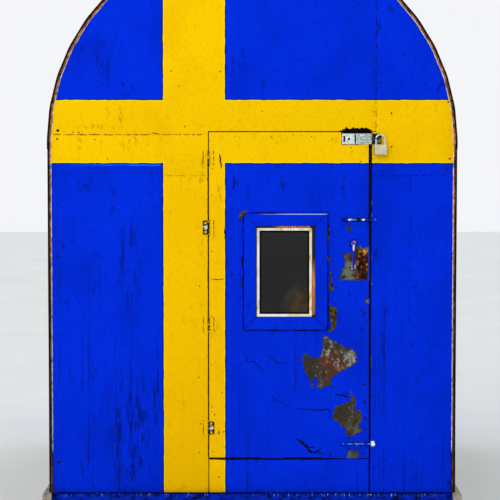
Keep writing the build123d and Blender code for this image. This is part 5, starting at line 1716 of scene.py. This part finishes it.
# ---------------------------------------------------------------- hasp, staple and padlock
# Hinged hasp of bright zinc-plated sheet, newer than the hut, closed over a wire staple. A
# padlock with a plated case hangs by its polished shackle from the staple.


def zinc_plate(name, bright, dull):
    """Hot-dip zinc: spangles 7 mm across in two greys, with grey marks where it was struck."""
    material, tree = new_material(name)
    spangle = add(tree, "TexVoronoi", {"Vector": at_scale(tree, (7, 7, 7)), "Scale": 1.0})
    tone = add(tree, "SeparateXYZ", (spangle.outputs["Color"],))
    marks = add(tree, "TexNoise", {"Vector": at_scale(tree, (12, 12, 5)), "Scale": 1.0, "Detail": 4.0})
    colour = add(tree, "MixRGB", (tone.outputs["X"], bright, dull))
    mark = add(tree, "MapRange", (marks, 0.56, 0.66, 0, 0.7))
    colour = add(tree, "MixRGB", (mark, colour, "#5c6360"))
    close_material(tree, colour, 0.34, marks, 0.15 * MM, {"Metallic": 0.75})
    return material


hasp_finish = zinc_plate("bright_zinc_hasp", "#e9f2ef", "#cad6d3")
dress("hasp_plate", hasp_finish)
# The staple is drawn near black: dull zinc, and painted shade behind the strap and padlock.
dress("hasp_staple", zinc_plate("dull_zinc_staple_in_shade", "#3c4046", "#1c1e22"))

# The strap has been struck more than the plate. Round the staple it is black with grease and
# with the painted shadow of the staple and padlock, and it has one painted blue-green highlight.
strap_finish = zinc_plate("greasy_zinc_strap", "#d3dfda", "#a3b3ae")
tree, shader, clean = colouring(strap_finish)
place = position(tree)
smear = add(tree, "TexNoise", {"Vector": at_scale(tree, (7, 7, 7)), "Scale": 1.0, "Detail": 4.0})
dents = add(tree, "MapRange", (smear, 0.54, 0.62, 0, 0.75))
colour = add(tree, "MixRGB", (dents, clean, "#39433f"))
# Black beyond a ragged line round the staple: grease, and painted shadow of the staple and padlock.
ragged = add(tree, "MapRange", (smear, 0, 1, -14 * MM, 14 * MM))
reach = add(tree, "ADD", (place["X"], ragged))
greasy_shaded_end = add(tree, "MapRange", (reach, 528 * MM, 533 * MM))
colour = add(tree, "MixRGB", (greasy_shaded_end, colour, "#020203"))
# Painted highlight: a blue-green spot on the strap by the staple.
colour = add(tree, "MixRGB", (near(tree, -38, 1426, 15), colour, "#7f9c9e"))
greasy = add(tree, "MapRange", (greasy_shaded_end, 0, 1, 0.34, 0.95))
clean_metal = add(tree, "SUBTRACT", (0.75, greasy_shaded_end))
tree.links.new(colour.outputs[0], shader.inputs["Base Color"])
tree.links.new(clean_metal.outputs[0], shader.inputs["Metallic"])
tree.links.new(greasy.outputs[0], shader.inputs["Roughness"])
dress("hasp_strap", strap_finish)

plate_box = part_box("hasp_plate")
strap_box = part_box("hasp_strap")
hasp_mid = (plate_box[0].z + plate_box[1].z) / 2
plate_face = steel_face - 2 * MM

# Punched holes seen into: greasy and unlit, dull black to the eye.
dark_hole, tree = new_material("dark_punched_hole")
depth_noise = add(tree, "TexNoise", {"Vector": at_scale(tree, (4, 4, 4)), "Scale": 1.0, "Detail": 2.0})
colour = add(tree, "ValToRGB", (depth_noise,), ((0.4, "#020202"), (0.7, "#12100e")))
close_material(tree, colour, 0.9, depth_noise, 0.1 * MM, {"Specular IOR Level": 0.05})


def low_block(bm, x, z, half_x, half_z, face, rise, corner):
    """Low pad on a face, with clipped corners and a sloping rim."""
    rings = []
    for inset, height in ((0, 0.0), (min(half_x, half_z) * 0.3, rise)):
        a, b, c = half_x - inset, half_z - inset, corner
        outline = (
            (a - c, -b), (a, -b + c), (a, b - c), (a - c, b), (-a + c, b), (-a, b - c), (-a, -b + c),
            (-a + c, -b),
        )
        rings.append([bm.verts.new((x + px, face - height, z + pz)) for px, pz in outline])
    for k in range(8):
        j = (k + 1) % 8
        bm.faces.new((rings[0][k], rings[0][j], rings[1][j], rings[1][k]))
    bm.faces.new(rings[1])
    bm.faces.new(rings[0][::-1])


bm = bmesh.new()
low_block(bm, plate_box[0].x + 9.5 * MM, hasp_mid, 4.2 * MM, 13 * MM, plate_face, 0.3 * MM, 1 * MM)
low_block(bm, strap_box[0].x - 3.6 * MM, hasp_mid, 2.9 * MM, 21.5 * MM, plate_face, 0.3 * MM, 0.6 * MM)
nail_head(
    bm, Vector((plate_box[0].x + 30 * MM, plate_face - 1.05 * MM, hasp_mid)), front_way, 5.6 * MM, 0.35 * MM
)
punched = link("hasp_plate_holes", bm, dark_hole)
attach(punched, "door")

bm = bmesh.new()
nail_head(bm, Vector((plate_box[0].x + 30 * MM, plate_face, hasp_mid)), front_way, 9 * MM, 1.3 * MM, 20)
hasp_screw = link("hasp_plate_screw", bm, hasp_finish)
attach(hasp_screw, "door")

bm = bmesh.new()
rib_x = strap_box[0].x + 42 * MM
strap_front = min(
    (v.co.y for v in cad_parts["hasp_strap"].data.vertices if v.co.x > strap_box[0].x + 20 * MM)
)
for dz in (-13, 13):
    low_block(bm, rib_x, hasp_mid + dz * MM, 24 * MM, 3 * MM, strap_front, 0.8 * MM, 1.5 * MM)
low_block(bm, rib_x - 2 * MM, hasp_mid, 10 * MM, 6 * MM, strap_front, 0.7 * MM, 2 * MM)
ribs = link("hasp_strap_pressing", bm, strap_finish)
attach(ribs, "hasp")

# Nickel plate on the padlock's case, warm with brass showing through, brushed up and down,
# with painted shade along its foot and its left edge.
case_finish, tree = new_material("plated_padlock_case")
brushed = add(tree, "TexNoise", {"Vector": at_scale(tree, (1.2, 1.2, 30)), "Scale": 1.0, "Detail": 3.0})
cloudy = add(tree, "TexNoise", {"Vector": at_scale(tree, (18, 18, 18)), "Scale": 1.0, "Detail": 4.0})
colour = add(tree, "ValToRGB", (cloudy,), ((0.36, "#c4bb9b"), (0.62, "#dcd5bb")))
case_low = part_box("padlock_case")[0]
place = position(tree)
# Painted shade along the case's foot and its left edge.
foot = add(tree, "LESS_THAN", (place["Z"], case_low.z + 2.4 * MM))
left_edge_shade = add(tree, "LESS_THAN", (place["X"], case_low.x + 2.2 * MM))
rim = add(tree, "MAXIMUM", (foot, left_edge_shade))
rim = add(tree, "MULTIPLY", (rim, 0.8))
colour = add(tree, "MixRGB", (rim, colour, "#4a3512"))
close_material(tree, colour, 0.42, brushed, 0.04 * MM, {"Metallic": 0.7})
case = link("padlock_body", eased("padlock_case", 1.4 * MM), case_finish)
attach(case, "padlock")
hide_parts("padlock_case")

# Hard steel rod with wipe marks 9 mm across. It gives the eye a bright, sharp highlight.
polished, tree = new_material("polished_shackle_steel")
wipe = add(tree, "TexNoise", {"Vector": at_scale(tree, (9, 9, 9)), "Scale": 1.0, "Detail": 3.0})
colour = add(tree, "ValToRGB", (wipe,), ((0.36, "#b4b7b8"), (0.6, "#dfe2e3")))
close_material(tree, colour, 0.16, wipe, 0.03 * MM, {"Metallic": 1.0})
dress("padlock_shackle", polished)

# ---------------------------------------------------------------- setting
# A pale floor, an even white sky and one large soft lamp high on the left, with the camera
# straight in front. None of it is part of the hut.
ground_z = min(corner.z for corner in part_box("runner_left"))
bpy.ops.mesh.primitive_plane_add(size=60, location=(0, 0, ground_z))
floor = bpy.context.object
floor.name = "studio_floor"
floor_paint, tree = new_material("pale_studio_floor")
soft = add(tree, "TexNoise", {"Vector": at_scale(tree, (900, 900, 900)), "Scale": 1.0, "Detail": 2.0})
colour = add(tree, "ValToRGB", (soft,), ((0.3, "#e6e9e7"), (0.7, "#ebeeec")))
close_material(tree, colour, 0.9, soft, 1 * MM, {"Specular IOR Level": 0.1})
floor.data.materials.append(floor_paint)

world = bpy.data.worlds.new("even_sky")
world.use_nodes = True
tree = world.node_tree
tree.nodes.clear()
sky = add(tree, "Background", {"Color": "#fbfcff", "Strength": 0.94})
add(tree, "OutputWorld", {"Surface": sky})
bpy.context.scene.world = world

lamp_data = bpy.data.lights.new("soft_key", "AREA")
lamp_data.shape = "DISK"
lamp_data.size = 5.0
lamp_data.energy = 105
lamp = bpy.data.objects.new("soft_key", lamp_data)
lamp.location = (-3.2, -6.0, 5.2)
lamp.rotation_euler = (Vector((0, FRONT, 1.3)) - lamp.location).to_track_quat("-Z", "Y").to_euler()
bpy.context.scene.collection.objects.link(lamp)

camera_data = bpy.data.cameras.new("camera")
camera_data.lens = 122.9
camera_data.sensor_width = 36
camera = bpy.data.objects.new("camera", camera_data)
camera.location = (-0.010, FRONT - 7.61, 1.688)
camera.rotation_euler = (math.radians(90 - 3.1), 0, 0)
bpy.context.scene.collection.objects.link(camera)
bpy.context.scene.camera = camera
bpy.context.scene.view_settings.view_transform = "Standard"
